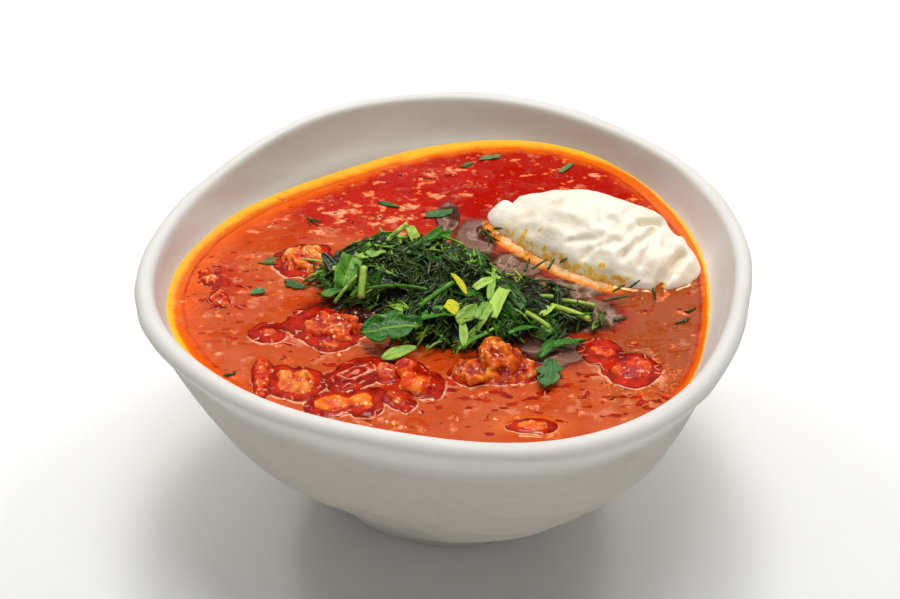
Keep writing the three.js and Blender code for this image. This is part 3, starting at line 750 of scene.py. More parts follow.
# Bubbles: place, radius
BUBBLES = [
    ((7.7, 12.5), 2.3),
    ((10.5, 26.4), 1.6),
    ((19.2, 8.9), 2.2),
    ((26.2, 1.4), 1.7),
    ((15.3, 11.4), 1.1),
    ((22.6, 5.8), 1.0),
]

# Round the wall, by angle in degrees: how wide the yellow oil, the orange oil and the haze are
YELLOW_OIL = [
    (-150, 0.8), (-90, 0.2), (0, 0.2), (40, 0.6), (70, 2.6), (100, 3.8), (140, 2.6), (178, 2.0)
]
ORANGE_OIL = [
    (-150, 1.8), (-90, 0.7), (-30, 1.0), (0, 1.3), (40, 3.4), (75, 5.0), (140, 5.2), (178, 3.6)
]
ORANGE_HAZE = [(-150, 8), (-90, 3), (-30, 4), (0, 2.4), (40, 8), (100, 9), (140, 15), (178, 15)]
# The fine dark line that follows the wall: its strength, and how far from the wall it is
WALL_LINE = [
    (-150, 0.8), (-120, 0.2), (-60, 0.3), (-20, 1.2), (30, 1.2),
    (66, 0.8), (80, 0.2), (125, 0.6), (178, 1.1),
]
WALL_LINE_AT = [(-150, 3.6), (-40, 2.0), (0, 2.2), (40, 4.0), (100, 4.0), (178, 4.1)]


def wall_radius(angle):
    """Radius of the bowl's inside at the broth's level, about the rim's centre."""
    level = SOUP_LEVEL - hand_lift(angle, SOUP_LEVEL)
    return inner_radius(level) * hand_sway(angle, SOUP_LEVEL)


def stray_swellings():
    draw = random.Random(STRAY_SEED)
    made = []
    while len(made) < STRAY_SWELLINGS:
        angle = draw.uniform(0, 2 * math.pi)
        out = math.sqrt(draw.random()) * STRAY_REACH
        place = (RIM_CENTRE.x + out * math.cos(angle), RIM_CENTRE.y + out * math.sin(angle))
        half = (draw.uniform(0.7, 2.3), draw.uniform(0.6, 1.4))
        turn = draw.uniform(-35, 35)
        high = draw.uniform(0.12, 0.42)
        (cx, cy), (long, wide) = STRAY_CLEAR
        if math.hypot((place[0] - cx) / long, (place[1] - cy) / wide) > 1:
            made.append((place, half, turn, high, draw.uniform(0, 0.9)))
    return made


def cell_of(value):
    return math.floor(value / SWELLING_CELL)


def sorted_by_cell(swellings):
    """The swellings by the square of the plan that they may reach."""
    cells = {}
    for swelling in swellings:
        (x, y), half = swelling[0], swelling[1]
        reach = SWELLING_REACH * max(half) + SWELLING_MARGIN
        for i in range(cell_of(x - reach), cell_of(x + reach) + 1):
            for j in range(cell_of(y - reach), cell_of(y + reach) + 1):
                cells.setdefault((i, j), []).append(swelling)
    return cells


def swelling_at(x, y, cells):
    """Height of the swellings at a point, and how torn the surface is."""
    high = 0.0
    torn = 0.0
    shifted_x = x + SWELLING_SHIFT * rough(x, y, 3.2, 20.0)
    shifted_y = y + SWELLING_SHIFT * rough(x, y, 3.2, 30.0)
    for (cx, cy), (long, wide), turn, top, rag in cells.get((cell_of(x), cell_of(y)), []):
        dx, dy = turned(shifted_x - cx, shifted_y - cy, turn)
        away = math.hypot(dx / long, dy / wide)
        if away < SWELLING_REACH:
            share = (1 - (away / SWELLING_REACH) ** 2) ** 2
            high = max(high, top * share)
            torn = max(torn, rag * share)
    high += torn * 0.12 * rough(x, y, 1.5, 40.0)
    return high, torn


def on_disc(across, along):
    """A square grid's point, as share of the radius and angle on an evenly filled disc."""
    if across == 0 and along == 0:
        return 0.0, 0.0
    if abs(across) > abs(along):
        share, turn = across, math.pi / 4 * along / across
    else:
        share, turn = along, math.pi / 2 - math.pi / 4 * across / along
    if share < 0:
        share, turn = -share, turn + math.pi
    return share, math.atan2(math.sin(turn), math.cos(turn))


class Near:
    """Measures how far a point of the surface is from a finished piece, up to 12 mm.

    A piece whose clear border is `tight` times as narrow counts as that much farther away.
    """

    MOST = 12.0

    def __init__(self, piece, tight=1.0):
        self.tight = tight
        bm = in_millimetres(piece.data)
        self.tree = BVHTree.FromBMesh(bm)
        self.low = [min(v.co[axis] for v in bm.verts) - self.MOST for axis in (0, 1)]
        self.high = [max(v.co[axis] for v in bm.verts) + self.MOST for axis in (0, 1)]
        self.middle = [(low + high) / 2 for low, high in zip(self.low, self.high)]
        bm.free()

    def gap(self, place):
        """How far it is, 0 inside the piece, and how much it is in front of it, -1 to 1."""
        if not (self.low[0] < place.x < self.high[0] and self.low[1] < place.y < self.high[1]):
            return self.MOST, 0.0
        near, normal, _, away = self.tree.find_nearest(place, self.MOST)
        if near is None:
            return self.MOST, 0.0
        ahead = (near.y - place.y) / max(away, 0.01)
        return (away * self.tight, ahead) if (place - near).dot(normal) > 0 else (0.0, 0.0)

    def before(self, place):
        """How much a point is in front of the piece's middle, -1 to 1."""
        dx, dy = place.x - self.middle[0], place.y - self.middle[1]
        return -dy / max(math.hypot(dx, dy), 0.01)


def from_mounds(x, y):
    """For each herb mound: how far out a point is, in mm and as share of its edge, and its height."""
    for (cx, cy), (long, wide, high), yaw in HERB_MOUNDS:
        dx, dy = turned(x - cx, y - cy, yaw)
        yield math.hypot(dx, dy), math.hypot(dx / long, dy / wide), high


def herb_height(x, y):
    """Height of the herb mounds above the broth, or less than 0 off them."""
    return max(
        high * math.sqrt(1 - share**2) if share < 1 else 1 - share**2
        for _, share, high in from_mounds(x, y)
    )


def herb_gap(x, y):
    """Roughly how far a point is outside the herb mounds."""
    return max(0.0, min((share - 1) * out / max(share, 0.01) for out, share, _ in from_mounds(x, y)))


def bubbles_at(x, y):
    """Height of the bubbles at a point, and how near it is to the ring round one."""
    high = 0.0
    ring = 0.0
    for (bx, by), size in BUBBLES:
        away = math.hypot(x - bx, y - by) / size
        if away < 2:
            high = max(high, 0.5 * size * math.sqrt(max(0.0, 1 - away * away)))
            ring = max(ring, hump(away, 1.05, 0.16))
    return high, ring


# Heights of the rings below the surface, which close the broth's side down to the floor
BROTH_RINGS = (66.0, 56.0, 42.0, 28.0, 16.0, FLOOR_HEIGHT + 1.2)
SIDE_INTO_WALL = 0.3
# What is painted on the broth's surface, to be read by its material
BROTH_PAINTS = (
    "near", "ahead", "broken", "flecks", "murk_and_sheen", "brown", "spice", "haze", "orange", "yellow",
    "glow", "herbal", "under", "line", "milky", "bare",
)
# The pieces with a narrower clear border than the rest, or, below 1, with a wider one
TIGHT_BORDERS = {
    "bean_right_piece": 2.2,
    "tomato_left_piece": 4.0,
    "tomato_front_piece": 1.8,
    "potato_back_piece": 0.7,
    "potato_front_left_piece": 0.75,
    "tomato_middle_piece": 0.8,
    "carrot_right_piece": 0.75,
    "carrot_strip_piece": 1.8,
}
# Spots of the plan: middle, half sizes, how much
# The wet grey film, mostly between the heap and the cream
FILM = [
    ((1, 33), (3.5, 8), 1.0),
    ((9, 21), (6, 11), 1.0),
    ((17, 8), (12, 7), 1.0),
    ((31, -4), (13, 6), 1.0),
    ((38, -16), (10, 8), 1.0),
    ((28, -32), (9, 7), 1.0),
    ((-30, -13), (8, 5), 1.0),
]
# Flecks of painted reflection on bright red
FLECKS = [
    ((-20, 36), (24, 15), 1.0),
    ((-4, 57), (18, 8), 0.8),
    ((34, 50), (18, 14), 0.4),
    ((-62, 2), (8, 16), 0.7),
]
# Fine grains of spice at the right, and the glow over a bean at the front
SPICE_GRAINS = ((50, -46), (16, 14))
BEAN_GLOW = ((22, -62.5), (11, 5))
# The side of the heap where the broth beside it is darkest, in painted shade
HEAP_SHADE = ((-14, -14), (26, 12))
# Where the surface is broken up by what lies just under it
BROKEN = [
    ((-62, -4), (9, 16), 0.9),
    ((-48, 4), (9, 9), 0.4),
    ((-34, -26), (16, 10), 0.7),
    ((-30, -46), (22, 13), 1.0),
    ((-4, -48), (18, 9), 1.0),
    ((14, -52), (14, 8), 0.8),
    ((34, -44), (13, 12), 0.9),
    ((50, -54), (14, 8), 1.0),
    ((44, -34), (12, 9), 0.5),
]


def broth_at(angle, reach, wall, cells, chunks, cream):
    """Where the broth's surface is at a point of the plan, and what is painted there."""
    x = RIM_CENTRE.x + reach * math.cos(angle)
    y = RIM_CENTRE.y + reach * math.sin(angle)
    to_wall = max(0.0, wall - reach)
    place = Vector((x, y, MEASURED_AT))
    nearest = min(chunks, key=lambda chunk: chunk.gap(place)[0])
    near = nearest.gap(place)[0]
    ahead = nearest.before(place)
    border = near * (1 + 0.8 * smooth(ahead, 0.0, 0.9))
    near_cream, before_cream = cream.gap(place)
    near_herbs = herb_gap(x, y)
    ragged = rough(x, y, 2.6, 5.0)
    broad = rough(x, y, 7.0, 9.1)
    climbs = [
        WALL_CLIMB * math.exp(-to_wall / WALL_REACH),
        CHUNK_CLIMB * math.exp(-near / CHUNK_REACH),
        CREAM_CLIMB * math.exp(-near_cream / CREAM_REACH),
        (HEAP_CLIMB + 0.5 * ragged) * math.exp(-near_herbs / HEAP_REACH),
    ]
    climb = sum(value**3 for value in climbs) ** (1 / 3)
    high, torn = swelling_at(x, y, cells)
    bubble, ring = bubbles_at(x, y)
    calm = 0.06 * rough(x, y, 17.0, 3.7) + 0.05 * broad + 0.02 * rough(x, y, 3.2, 7.0)
    surface = SOUP_LEVEL + climb + high + calm + bubble
    uneven = 1 + 0.3 * rough(x, y, 6.0, 12.0)
    yellow = around(YELLOW_OIL, angle)
    orange = around(ORANGE_OIL, angle)
    wall_line_at = around(WALL_LINE_AT, angle) + 0.5 * broad
    film = spots(x, y, FILM)
    # How much painted shade the broth gets at and beside the heap
    heap_shade_share = max(
        (1 - smooth(near_herbs, 0, 9)) * spot(x, y, *HEAP_SHADE),
        0.9 * (1 - smooth(near_herbs, 0, 2)),
    )
    melted = (1 - smooth(near_cream, 0.0, 4.6)) * smooth(before_cream, 0.0, 0.7)
    paints = {
        "near": border,
        "ahead": smooth(ahead, -0.4, 0.7),
        "broken": max(torn, spots(x, y, BROKEN)),
        "flecks": spots(x, y, FLECKS),
        "murk_and_sheen": 1.1 * smooth(y - 0.25 * abs(x), 40, -8) + 0.25 * broad,
        "brown": 0.9 * smooth(x, 22, 52) * smooth(y, -72, -36) * smooth(y, 30, 4) + 0.2 * broad,
        "spice": spot(x, y, *SPICE_GRAINS),
        "haze": 1.1 - to_wall / (around(ORANGE_HAZE, angle) * uneven),
        "orange": 1 - smooth(to_wall, 0.5 * orange, 1.5 * orange * uneven),
        "yellow": 1 - smooth(to_wall, 0, 1.7 * yellow * uneven),
        "glow": 0.8 * max(spot(x, y, *BEAN_GLOW), ring),
        "herbal": 1.2 * film + 0.3 * ragged * film,
        "under": heap_shade_share,
        "line": 0.8 * around(WALL_LINE, angle) * hump(to_wall, wall_line_at, 0.3),
        "milky": melted * smooth(x, 54, 42),
        "bare": smooth(y - 0.2 * abs(x), 14, 34),
    }
    return Vector((x, y, surface)), paints


def make_broth(finish, chunks, cream):
    """The broth, up to its level, with its surface drawn up the wall and round every piece."""
    cells = sorted_by_cell(SWELLINGS + stray_swellings())
    near_chunks = [Near(piece, TIGHT_BORDERS.get(piece.name, 1.0)) for piece in chunks]
    near_cream = Near(cream)
    bm = bmesh.new()
    bmesh.ops.create_grid(bm, x_segments=SOUP_GRID, y_segments=SOUP_GRID, size=1.0)
    layers = {name: bm.verts.layers.float.new(name) for name in BROTH_PAINTS}
    for v in bm.verts:
        share, angle = on_disc(v.co.x, v.co.y)
        wall = wall_radius(angle)
        v.co, paints = broth_at(angle, share * (wall + INTO_WALL), wall, cells, near_chunks, near_cream)
        for name, layer in layers.items():
            v[layer] = paints[name]
    rim = [e for e in bm.edges if e.is_boundary]
    for z in BROTH_RINGS:
        made = bmesh.ops.extrude_edge_only(bm, edges=rim)["geom"]
        rim = [e for e in made if isinstance(e, bmesh.types.BMEdge) and e.is_boundary]
        for v in [g for g in made if isinstance(g, bmesh.types.BMVert)]:
            angle = math.atan2(v.co.y - RIM_CENTRE.y, v.co.x - RIM_CENTRE.x)
            radius = inner_radius(z) + SIDE_INTO_WALL
            v.co = shaped_by_hand(Vector((radius * math.cos(angle), radius * math.sin(angle), z)))
    bmesh.ops.contextual_create(bm, geom=rim)
    bmesh.ops.recalc_face_normals(bm, faces=bm.faces)
    as_piece("broth", bm, finish, "broth", "soup")


# ---------------------------------------------------------------- the soured cream

CREAM_AT = Vector((41.4, 17.2))
CREAM_YAW = -30
CREAM_VOXEL = 0.5

# Creases the spoon left, in the spoonful's own axes: points, width, depth
CREASES = [
    ([(18.5, 7.5), (16.6, 4.5), (14.4, 2.2)], 1.1, 2.4),
    ([(9.6, -8.6), (12.7, -6.7), (14.1, -1.5), (15.5, 2.1)], 1.2, 1.1),
    ([(-1.5, -10.6), (2.0, -9.8), (4.6, -8.8), (6.4, -7.2)], 1.0, 0.9),
    ([(4.0, -13.4), (4.5, -11.0), (6.8, -9.7)], 0.9, 0.9),
    ([(14.6, -10.4), (16.9, -5.3), (18.4, 2.0)], 1.0, 1.3),
    ([(28.0, 1.0), (27.3, -2.6), (26.6, -5.8), (26.6, -11.0)], 1.2, 3.0),
    ([(29.0, -1.5), (28.9, -5.4)], 0.8, 0.6),
    ([(1.2, 4.4), (0.7, -0.6), (3.5, -4.2)], 1.1, 0.6),
    ([(-10.5, -0.8), (-13.8, -2.4), (-17.2, -5.2)], 1.3, 0.6),
    ([(10.8, 7.0), (9.9, 2.8), (9.3, -3.4)], 1.2, 0.8),
    ([(19.2, 1.9), (19.9, -3.8), (19.6, -9.4)], 1.0, 1.0),
    ([(22.6, 6.4), (22.2, 3.0), (23.6, -0.8)], 1.0, 1.0),
    ([(-27.4, 5.6), (-26.8, 3.0), (-27.6, 0.6)], 1.2, 1.8),
    ([(-5.6, 5.4), (-6.8, 1.6), (-5.2, -2.0)], 1.4, 0.5),
]
# Pits and swellings: place, radius, height
CREAM_LUMPS = [
    ((7.2, -2.5), 2.4, -0.9),
    ((-3.0, -7.4), 2.8, -0.9),
    ((14.8, -9.6), 1.2, -0.9),
    ((22.8, -6.0), 3.2, 0.8),
    ((30.4, 0.0), 2.2, 0.7),
    ((12.4, -11.6), 2.4, 0.6),
    ((16.6, 8.8), 2.2, 0.8),
    ((24.6, 6.6), 1.8, 0.7),
]
# Drops of oil on it: place, radius
CREAM_DROPS = [
    ((10.1, -13.6), 1.0),
    ((-11.5, -9.0), 0.6),
    ((-16.4, -9.2), 1.2),
    ((26.6, -8.4), 1.2),
]


def on_cream(place):
    """A place in the spoonful's own axes: along it, and across it."""
    return turned(place.x - CREAM_AT.x, place.y - CREAM_AT.y, CREAM_YAW)


def cream_folds(place, normal):
    along, across = on_cream(place)
    free = smooth(place.z, SOUP_LEVEL - 0.5, SOUP_LEVEL + 1.5)
    shift = rough(along, across, 4.0, 2.0) * 0.8
    height = 0.0
    for points, width, depth in CREASES:
        away = from_line(along + shift, across - shift, points)
        if away < 4 * width:
            height += depth * (0.22 * hump(away, 0, 2.2 * width) - hump(away, 0, width))
    for (cx, cy), radius, high in CREAM_LUMPS:
        height += high * hump(math.hypot(along - cx, across - cy), 0, radius)
    fold = noise.noise(Vector((along / 9, across / 5.5, place.z / 8)))
    lump = noise.noise(Vector((along / 3.4, across / 2.6, place.z / 3 + 4)))
    return free * (1.15 * height + 0.45 * fold + 0.3 * lump)


def cream_stain(place):
    """How much orange oil has soaked in: most at the waterline, towards the front."""
    along, across = on_cream(place)
    front = 1 - smooth(across, -9, -3)
    above = place.z - SOUP_LEVEL
    low = (1 - smooth(above, 2.4, 7.5)) * front * (1 - smooth(along, 17, 21))
    edge = 1 - smooth(above, 0.5, 1.8)
    stain = max(0.72 * low, 0.5 * edge)
    for (cx, cy), radius in CREAM_DROPS:
        away = math.hypot(along - cx, across - cy)
        stain = max(stain, 0.9 * (1 - smooth(away, 0.4 * radius, 1.6 * radius)))
    return stain


def make_cream(finish):
    bm = remeshed(frame_copy("sour_cream"), CREAM_VOXEL)
    relax(bm, 4)
    push_out(bm, cream_folds)
    relax(bm, 1)
    stain = bm.verts.layers.float.new("stain")
    for v in bm.verts:
        v[stain] = cream_stain(v.co)
    return as_piece("soured_cream", bm, finish, "cream", "sour_cream")


# ---------------------------------------------------------------- pieces of vegetable


def crags(size, depth, fine=0.35):
    """A rough surface: broad unevenness of `size`, with finer crumbs on it."""

    def amount(place, normal):
        broad = noise.noise(place / size)
        small = noise.noise(place / (size * 0.42) + Vector((7, 3, 1)))
        return depth * (broad + fine * small)

    return amount


def ribs(middle, yaw, spacing, depth):
    """Rings across a strip that lies along `yaw`."""

    def amount(place, normal):
        _, along = turned(place.x - middle[0], place.y - middle[1], yaw)
        ring = math.sin(2 * math.pi * (along + 0.5 * noise.noise(place / 2)) / spacing)
        return depth * ring + 0.3 * noise.noise(place / 1.6)

    return amount


def shells(middle, yaw, stretch, spacing, depth):
    """Folds one inside the other round a middle, like a curled leaf."""

    def amount(place, normal):
        dx, dy = turned(place.x - middle[0], place.y - middle[1], yaw)
        out = math.hypot(dx / stretch, dy)
        wobble = noise.noise(place / 2.2) * 0.6
        fine = noise.noise(place / 1.1) * 0.3
        return depth * (math.sin(2 * math.pi * (out / spacing + wobble)) + fine)

    return amount


CHUNK_VOXEL = 0.34

# Each piece: its finish, slot and surface.
CHUNKS = {
    "potato_back": ("potato", "potato", crags(3.2, 0.9, 0.6)),
    "potato_front_left": ("potato", "potato", crags(3.4, 1.0, 0.35)),
    "bean_front": ("bean", "potato", crags(4.4, 0.4, 0.4)),
    "bean_right": ("bean", "potato", crags(4.0, 0.3, 0.4)),
    "onion_middle": ("onion", "potato", crags(3.0, 0.7, 0.3)),
    "carrot_strip": ("carrot", "carrot", ribs((-46.9, -43.7), 3, 1.7, 0.1)),
    "carrot_middle": ("carrot", "carrot", crags(3.6, 0.9, 0.3)),
    "carrot_right": ("carrot", "carrot", crags(3.4, 0.7, 0.3)),
    "tomato_middle": ("tomato", "tomato", crags(3.4, 1.3, 0.5)),
    "tomato_left": ("tomato_film", "tomato", shells((-65.0, -1.0), 80, 1.6, 4.0, 0.5)),
    "tomato_front": ("tomato_flesh", "tomato", crags(3.6, 1.5, 0.5)),
    "pepper_small": ("tomato", "tomato", crags(3.0, 0.5, 0.3)),
    "pepper_front": ("tomato", "tomato", crags(3.0, 0.4, 0.3)),
    "cabbage_shell": ("cabbage", "tomato", shells((-22.9, -42.0), 30, 2.0, 1.9, 0.5)),
    "beet_strip": ("beet", "beet", crags(2.8, 0.4, 0.4)),
}

# Each finish: colour of the flesh, its painted shade in hollows, its painted highlight on ridges, the
# size of its grain, and, where given, its colour under the broth
VEGETABLE_COLOURS = {
    "potato": ((238, 122, 26), (206, 52, 4), (252, 182, 90), 1.5),
    "bean": ((246, 122, 10), (222, 62, 2), (254, 184, 66), 2.2),
    "onion": ((214, 76, 22), (180, 26, 4), (238, 146, 92), 1.8),
    "carrot": ((226, 74, 4), (186, 20, 1), (242, 128, 26), 1.8),
    "tomato": ((214, 76, 12), (166, 16, 1), (232, 124, 52), 2.2),
    "tomato_film": ((230, 84, 8), (206, 42, 2), (242, 132, 50), 2.0, (212, 62, 6)),
    "tomato_flesh": ((214, 88, 8), (158, 26, 1), (240, 138, 34), 2.6),
    "cabbage": ((198, 66, 40), (136, 6, 2), (236, 158, 128), 1.6),
    "beet": ((56, 10, 6), (24, 4, 3), (92, 30, 16), 1.6),
}


def make_chunks():
    finishes = {
        name: vegetable_finish(name, *colours) for name, colours in VEGETABLE_COLOURS.items()
    }
    made = []
    for node, (finish, slot, surface) in CHUNKS.items():
        bm = remeshed(frame_copy(node), CHUNK_VOXEL)
        relax(bm, 5)
        bm.normal_update()
        heights = [surface(v.co, v.normal) for v in bm.verts]
        most = max(0.6, *heights)
        ridge = bm.verts.layers.float.new("ridge")
        for v, height in zip(bm.verts, heights):
            v[ridge] = height / most
        push_out(bm, surface)
        relax(bm, 1, 0.3)
        made.append(as_piece(node + "_piece", bm, finishes[finish], slot, node))
    return made


# ---------------------------------------------------------------- herbs

# What is painted on a bit of herb, and what it is where nothing is painted: off the vein
SHAPE_PAINTS = {"tone": 0.0, "lime": 0.0, "along": 0.0, "side": 0.6}


def as_shape(bm, name):
    """A small mesh in millimetres to be set down many times, with room for what is painted."""
    for label, usual in SHAPE_PAINTS.items():
        if label not in bm.verts.layers.float:
            layer = bm.verts.layers.float.new(label)
            for v in bm.verts:
                v[layer] = usual
    return as_mesh(name, bm)


class Sprinkling:
    """Many turned copies of a few shapes, joined into one mesh."""

    def __init__(self):
        self.bm = bmesh.new()

    def add(self, shape, turn, place, tone, lime=0.0):
        copy = shape.copy()
        copy.transform(Matrix.Translation(place) @ turn.to_4x4())
        for label, value in (("tone", tone), ("lime", lime)):
            copy.attributes[label].data.foreach_set("value", [value] * len(copy.vertices))
        self.bm.from_mesh(copy)
        bpy.data.meshes.remove(copy)


def needle(bm, start, end, width, bend=0.0):
    """A thin pointed needle from one point to another, bent upwards in its middle."""
    made = bmesh.ops.create_uvsphere(bm, u_segments=4, v_segments=4, radius=1.0)["verts"]
    along = end - start
    turn = along.to_track_quat("Z", "Y").to_matrix()
    for v in made:
        full = width / 2 * (1.1 - 0.35 * v.co.z)
        place = turn @ Vector((v.co.x * full, v.co.y * full, v.co.z * along.length / 2))
        v.co = start.lerp(end, 0.5) + place + Vector((0, 0, bend * (1 - v.co.z**2)))


def dill_shape(draw, index):
    """A loose needle, or a feathery bit of a frond with needles to both sides."""
    bm = bmesh.new()
    length = draw.uniform(4.5, 10.5)
    tip = Vector((length / 2, 0, 0))
    needle(bm, -tip, tip, draw.uniform(0.6, 1.05), draw.uniform(0, 0.7))
    if index % 2:
        for _ in range(draw.randint(4, 7)):
            start = Vector((length * draw.uniform(-0.4, 0.3), 0, draw.uniform(0, 0.4)))
            spread = math.radians(draw.uniform(18, 42)) * draw.choice((-1, 1))
            reach = draw.uniform(1.6, 3.8)
            rise = draw.uniform(-0.2, 0.7)
            end = start + Vector((reach * math.cos(spread), reach * math.sin(spread), rise))
            needle(bm, start, end, draw.uniform(0.4, 0.7), 0.15)
    return as_shape(bm, "dill_shape")


def leaf_shape(kind, long, wide, curl=0.0, cuts=(6, 4), thick=0.24, seed=0):
    """A flat bit of leaf, folded a little along its vein.

    A `blade` is pointed at both ends, a `lobed` one has round lobes, and a `cut` one has
    been chopped off straight at both ends.
    """
    bm = bmesh.new()
    bmesh.ops.create_grid(bm, x_segments=cuts[0], y_segments=cuts[1], size=1.0)
    along_layer = bm.verts.layers.float.new("along")
    side_layer = bm.verts.layers.float.new("side")
    slant = 0.22 * math.sin(seed * 2.4) if kind == "cut" else 0.0
    for v in bm.verts:
        along, side = (v.co.x + 1) / 2, v.co.y
        v[along_layer] = along
        v[side_layer] = side
        if kind == "cut":
            full = 0.8 + 0.2 * math.sin(math.pi * along)
        else:
            full = math.sin(math.pi * (0.05 + 0.9 * along**0.85)) ** 0.75
        if kind == "lobed":
            notch = 1 - abs(math.sin(math.pi * (2.5 * along + 0.15 * side)))
            full *= 1 - 0.5 * notch**2 * smooth(abs(side), 0.2, 0.9)
        full *= 1 + 0.16 * rough(along * 4, side * 2, 1.0, seed + 0.3)
        wave = 0.1 * wide * rough(along * 3, side * 2, 1.0, seed + 5.3)
        rise = wave + abs(side) * wide * 0.12 - curl * (2 * along - 1) ** 2
        v.co = (v.co.x * long / 2 + side * wide * slant, side * wide / 2 * full, rise)
    bmesh.ops.recalc_face_normals(bm, faces=bm.faces)
    bmesh.ops.solidify(bm, geom=bm.faces[:], thickness=thick)
    return as_shape(bm, "leaf_shape")


def stalk_shape(long, thick, arch=0.3, sides=8):
    """A cut stalk, arched upwards at its middle."""
    bm = bmesh.new()
    bmesh.ops.create_circle(bm, cap_ends=True, radius=thick / 2, segments=sides)
    turn = Matrix.Rotation(math.pi / 2, 3, "Y")
    bmesh.ops.rotate(bm, cent=(0, 0, 0), matrix=turn, verts=bm.verts)
    bmesh.ops.translate(bm, vec=(-long / 2, 0, 0), verts=bm.verts)
    face = bm.faces[:]
    for _ in range(8):
        made = bmesh.ops.extrude_face_region(bm, geom=face)["geom"]
        face = [g for g in made if isinstance(g, bmesh.types.BMFace)]
        verts = [g for g in made if isinstance(g, bmesh.types.BMVert)]
        bmesh.ops.translate(bm, vec=(long / 8, 0, 0), verts=verts)
    for v in bm.verts:
        v.co.z += arch * (1 - (2 * v.co.x / long) ** 2)
    bmesh.ops.recalc_face_normals(bm, faces=bm.faces)
    return as_shape(bm, "stalk_shape")


def lying(yaw, lean=0.0, roll=0.0):
    """A turn about Z, after a lean up along its length and a roll about it, in degrees."""
    return Euler((math.radians(roll), -math.radians(lean), math.radians(yaw)), "XYZ").to_matrix()


def slope_along(x, y, yaw):
    """Slope of the herb mounds in the direction `yaw`, in degrees."""
    c, s = math.cos(math.radians(yaw)), math.sin(math.radians(yaw))
    ahead = max(herb_height(x + c, y + s), -0.5)
    behind = max(herb_height(x - c, y - s), -0.5)
    return clamp(math.degrees(math.atan2(ahead - behind, 2)), -40, 40)


def loose(x, y):
    """1 at the right and the back of the heap, where bits lie loose on wet film."""
    return smooth(x + 0.8 * y, 2, 16)


def in_light(x, y):
    """Less than 1 in the heap's wet hollow, left of its middle, where bits are painted darker as shade.
    """
    return smooth(math.hypot((x + 4) / 15, (y + 10) / 8), 0.5, 1.3)


DILL_PIECES = 620
DILL_SHAPES = 24
DILL_SEED = 5
DILL_X, DILL_Y = (-38, 46), (-35, 19)  # the part of the plan it is strewn over
LEAF_BITS = 210
LEAF_SHAPES = 18
LEAF_SEED = 8
LEAF_X, LEAF_Y = (-37, 44), (-34, 18)
STEEPEST = 50  # how far a strewn bit may lean, in degrees

# The leaves that show: kind, place, size, turn, lean, roll, height above the broth, tone,
# and how lime-yellow
HEAP_LEAVES = [
    ("cut", (-26.4, -5.2), (9.5, 6.8), 72, 28, 24, 7.6, 0.6, 0),
    ("lobed", (-20.2, -0.2), (8.5, 4.6), 11, 8, -10, 9.2, 0.75, 0),
    ("blade", (-17.6, 12.2), (8.6, 2.2), -4, 20, 30, 7.4, 0.4, 0),
    ("cut", (-8.6, 8.2), (6.0, 3.0), -61, -42, 0, 10.4, 1.1, 0),
    ("blade", (-4.2, 7.6), (12.0, 2.8), 50, 10, 30, 9.6, 0.45, 0),
    ("blade", (-7.4, 3.3), (11.5, 2.6), 30, 5, 24, 9.8, 0.3, 0),
    ("blade", (4.0, -13.6), (10.0, 2.8), -70, 0, -30, 9.4, 0.9, 1.0),
    ("cut", (1.8, -24.1), (4.6, 3.8), -48, -6, 0, 9.0, 0.9, 1.0),
    ("cut", (-1.8, -25.4), (9.0, 6.2), 8, 6, -8, 7.6, 0.5, 0),
    ("cut", (6.2, -26.2), (7.4, 4.6), 34, 8, 10, 8.0, 0.65, 0.3),
    ("lobed", (-14.0, -29.0), (16.5, 10.5), -2, 10, 12, 5.8, 0.3, 0),
    ("blade", (-11.9, -36.0), (9.5, 4.6), 12, 12, 6, 2.8, 0.8, 0),
    ("cut", (10.4, -13.4), (6.0, 2.4), 36, 5, 20, 9.0, 1.2, 0),
    ("blade", (12.6, -14.4), (11.0, 2.2), 81, 5, -20, 9.0, 0.8, 0.2),
    ("cut", (14.1, -21.2), (12.0, 4.4), 71, 6, -16, 8.4, 1.0, 0),
    ("cut", (10.7, -24.6), (7.4, 4.0), 64, 4, 20, 8.2, 0.7, 0),
    ("blade", (4.8, -32.2), (8.4, 2.4), 94, 14, 0, 6.6, 0.8, 0),
    ("blade", (7.3, -34.4), (9.6, 2.8), 31, 12, -24, 5.4, 0.55, 0),
    ("cut", (18.9, -16.2), (10.0, 3.4), -63, -6, 20, 7.0, 0.2, 0),
    ("lobed", (31.5, -31.0), (11.0, 3.6), 19, -3, -14, 2.2, 0.4, 0),
    ("blade", (26.6, -33.6), (8.0, 2.4), 60, 4, 20, 2.6, 0.35, 0),
    ("cut", (20.4, -28.4), (8.0, 3.0), 20, 0, -20, 4.6, 0.4, 0),
    ("blade", (-33.4, -1.6), (8.6, 2.8), -65, -6, 20, 2.6, 0.6, 0),
    ("cut", (-29.6, -9.6), (6.4, 4.0), 20, 10, -10, 4.0, 0.55, 0),
    ("lobed", (-1.0, 12.4), (8.0, 4.4), 40, 6, 20, 6.6, 0.45, 0),
]
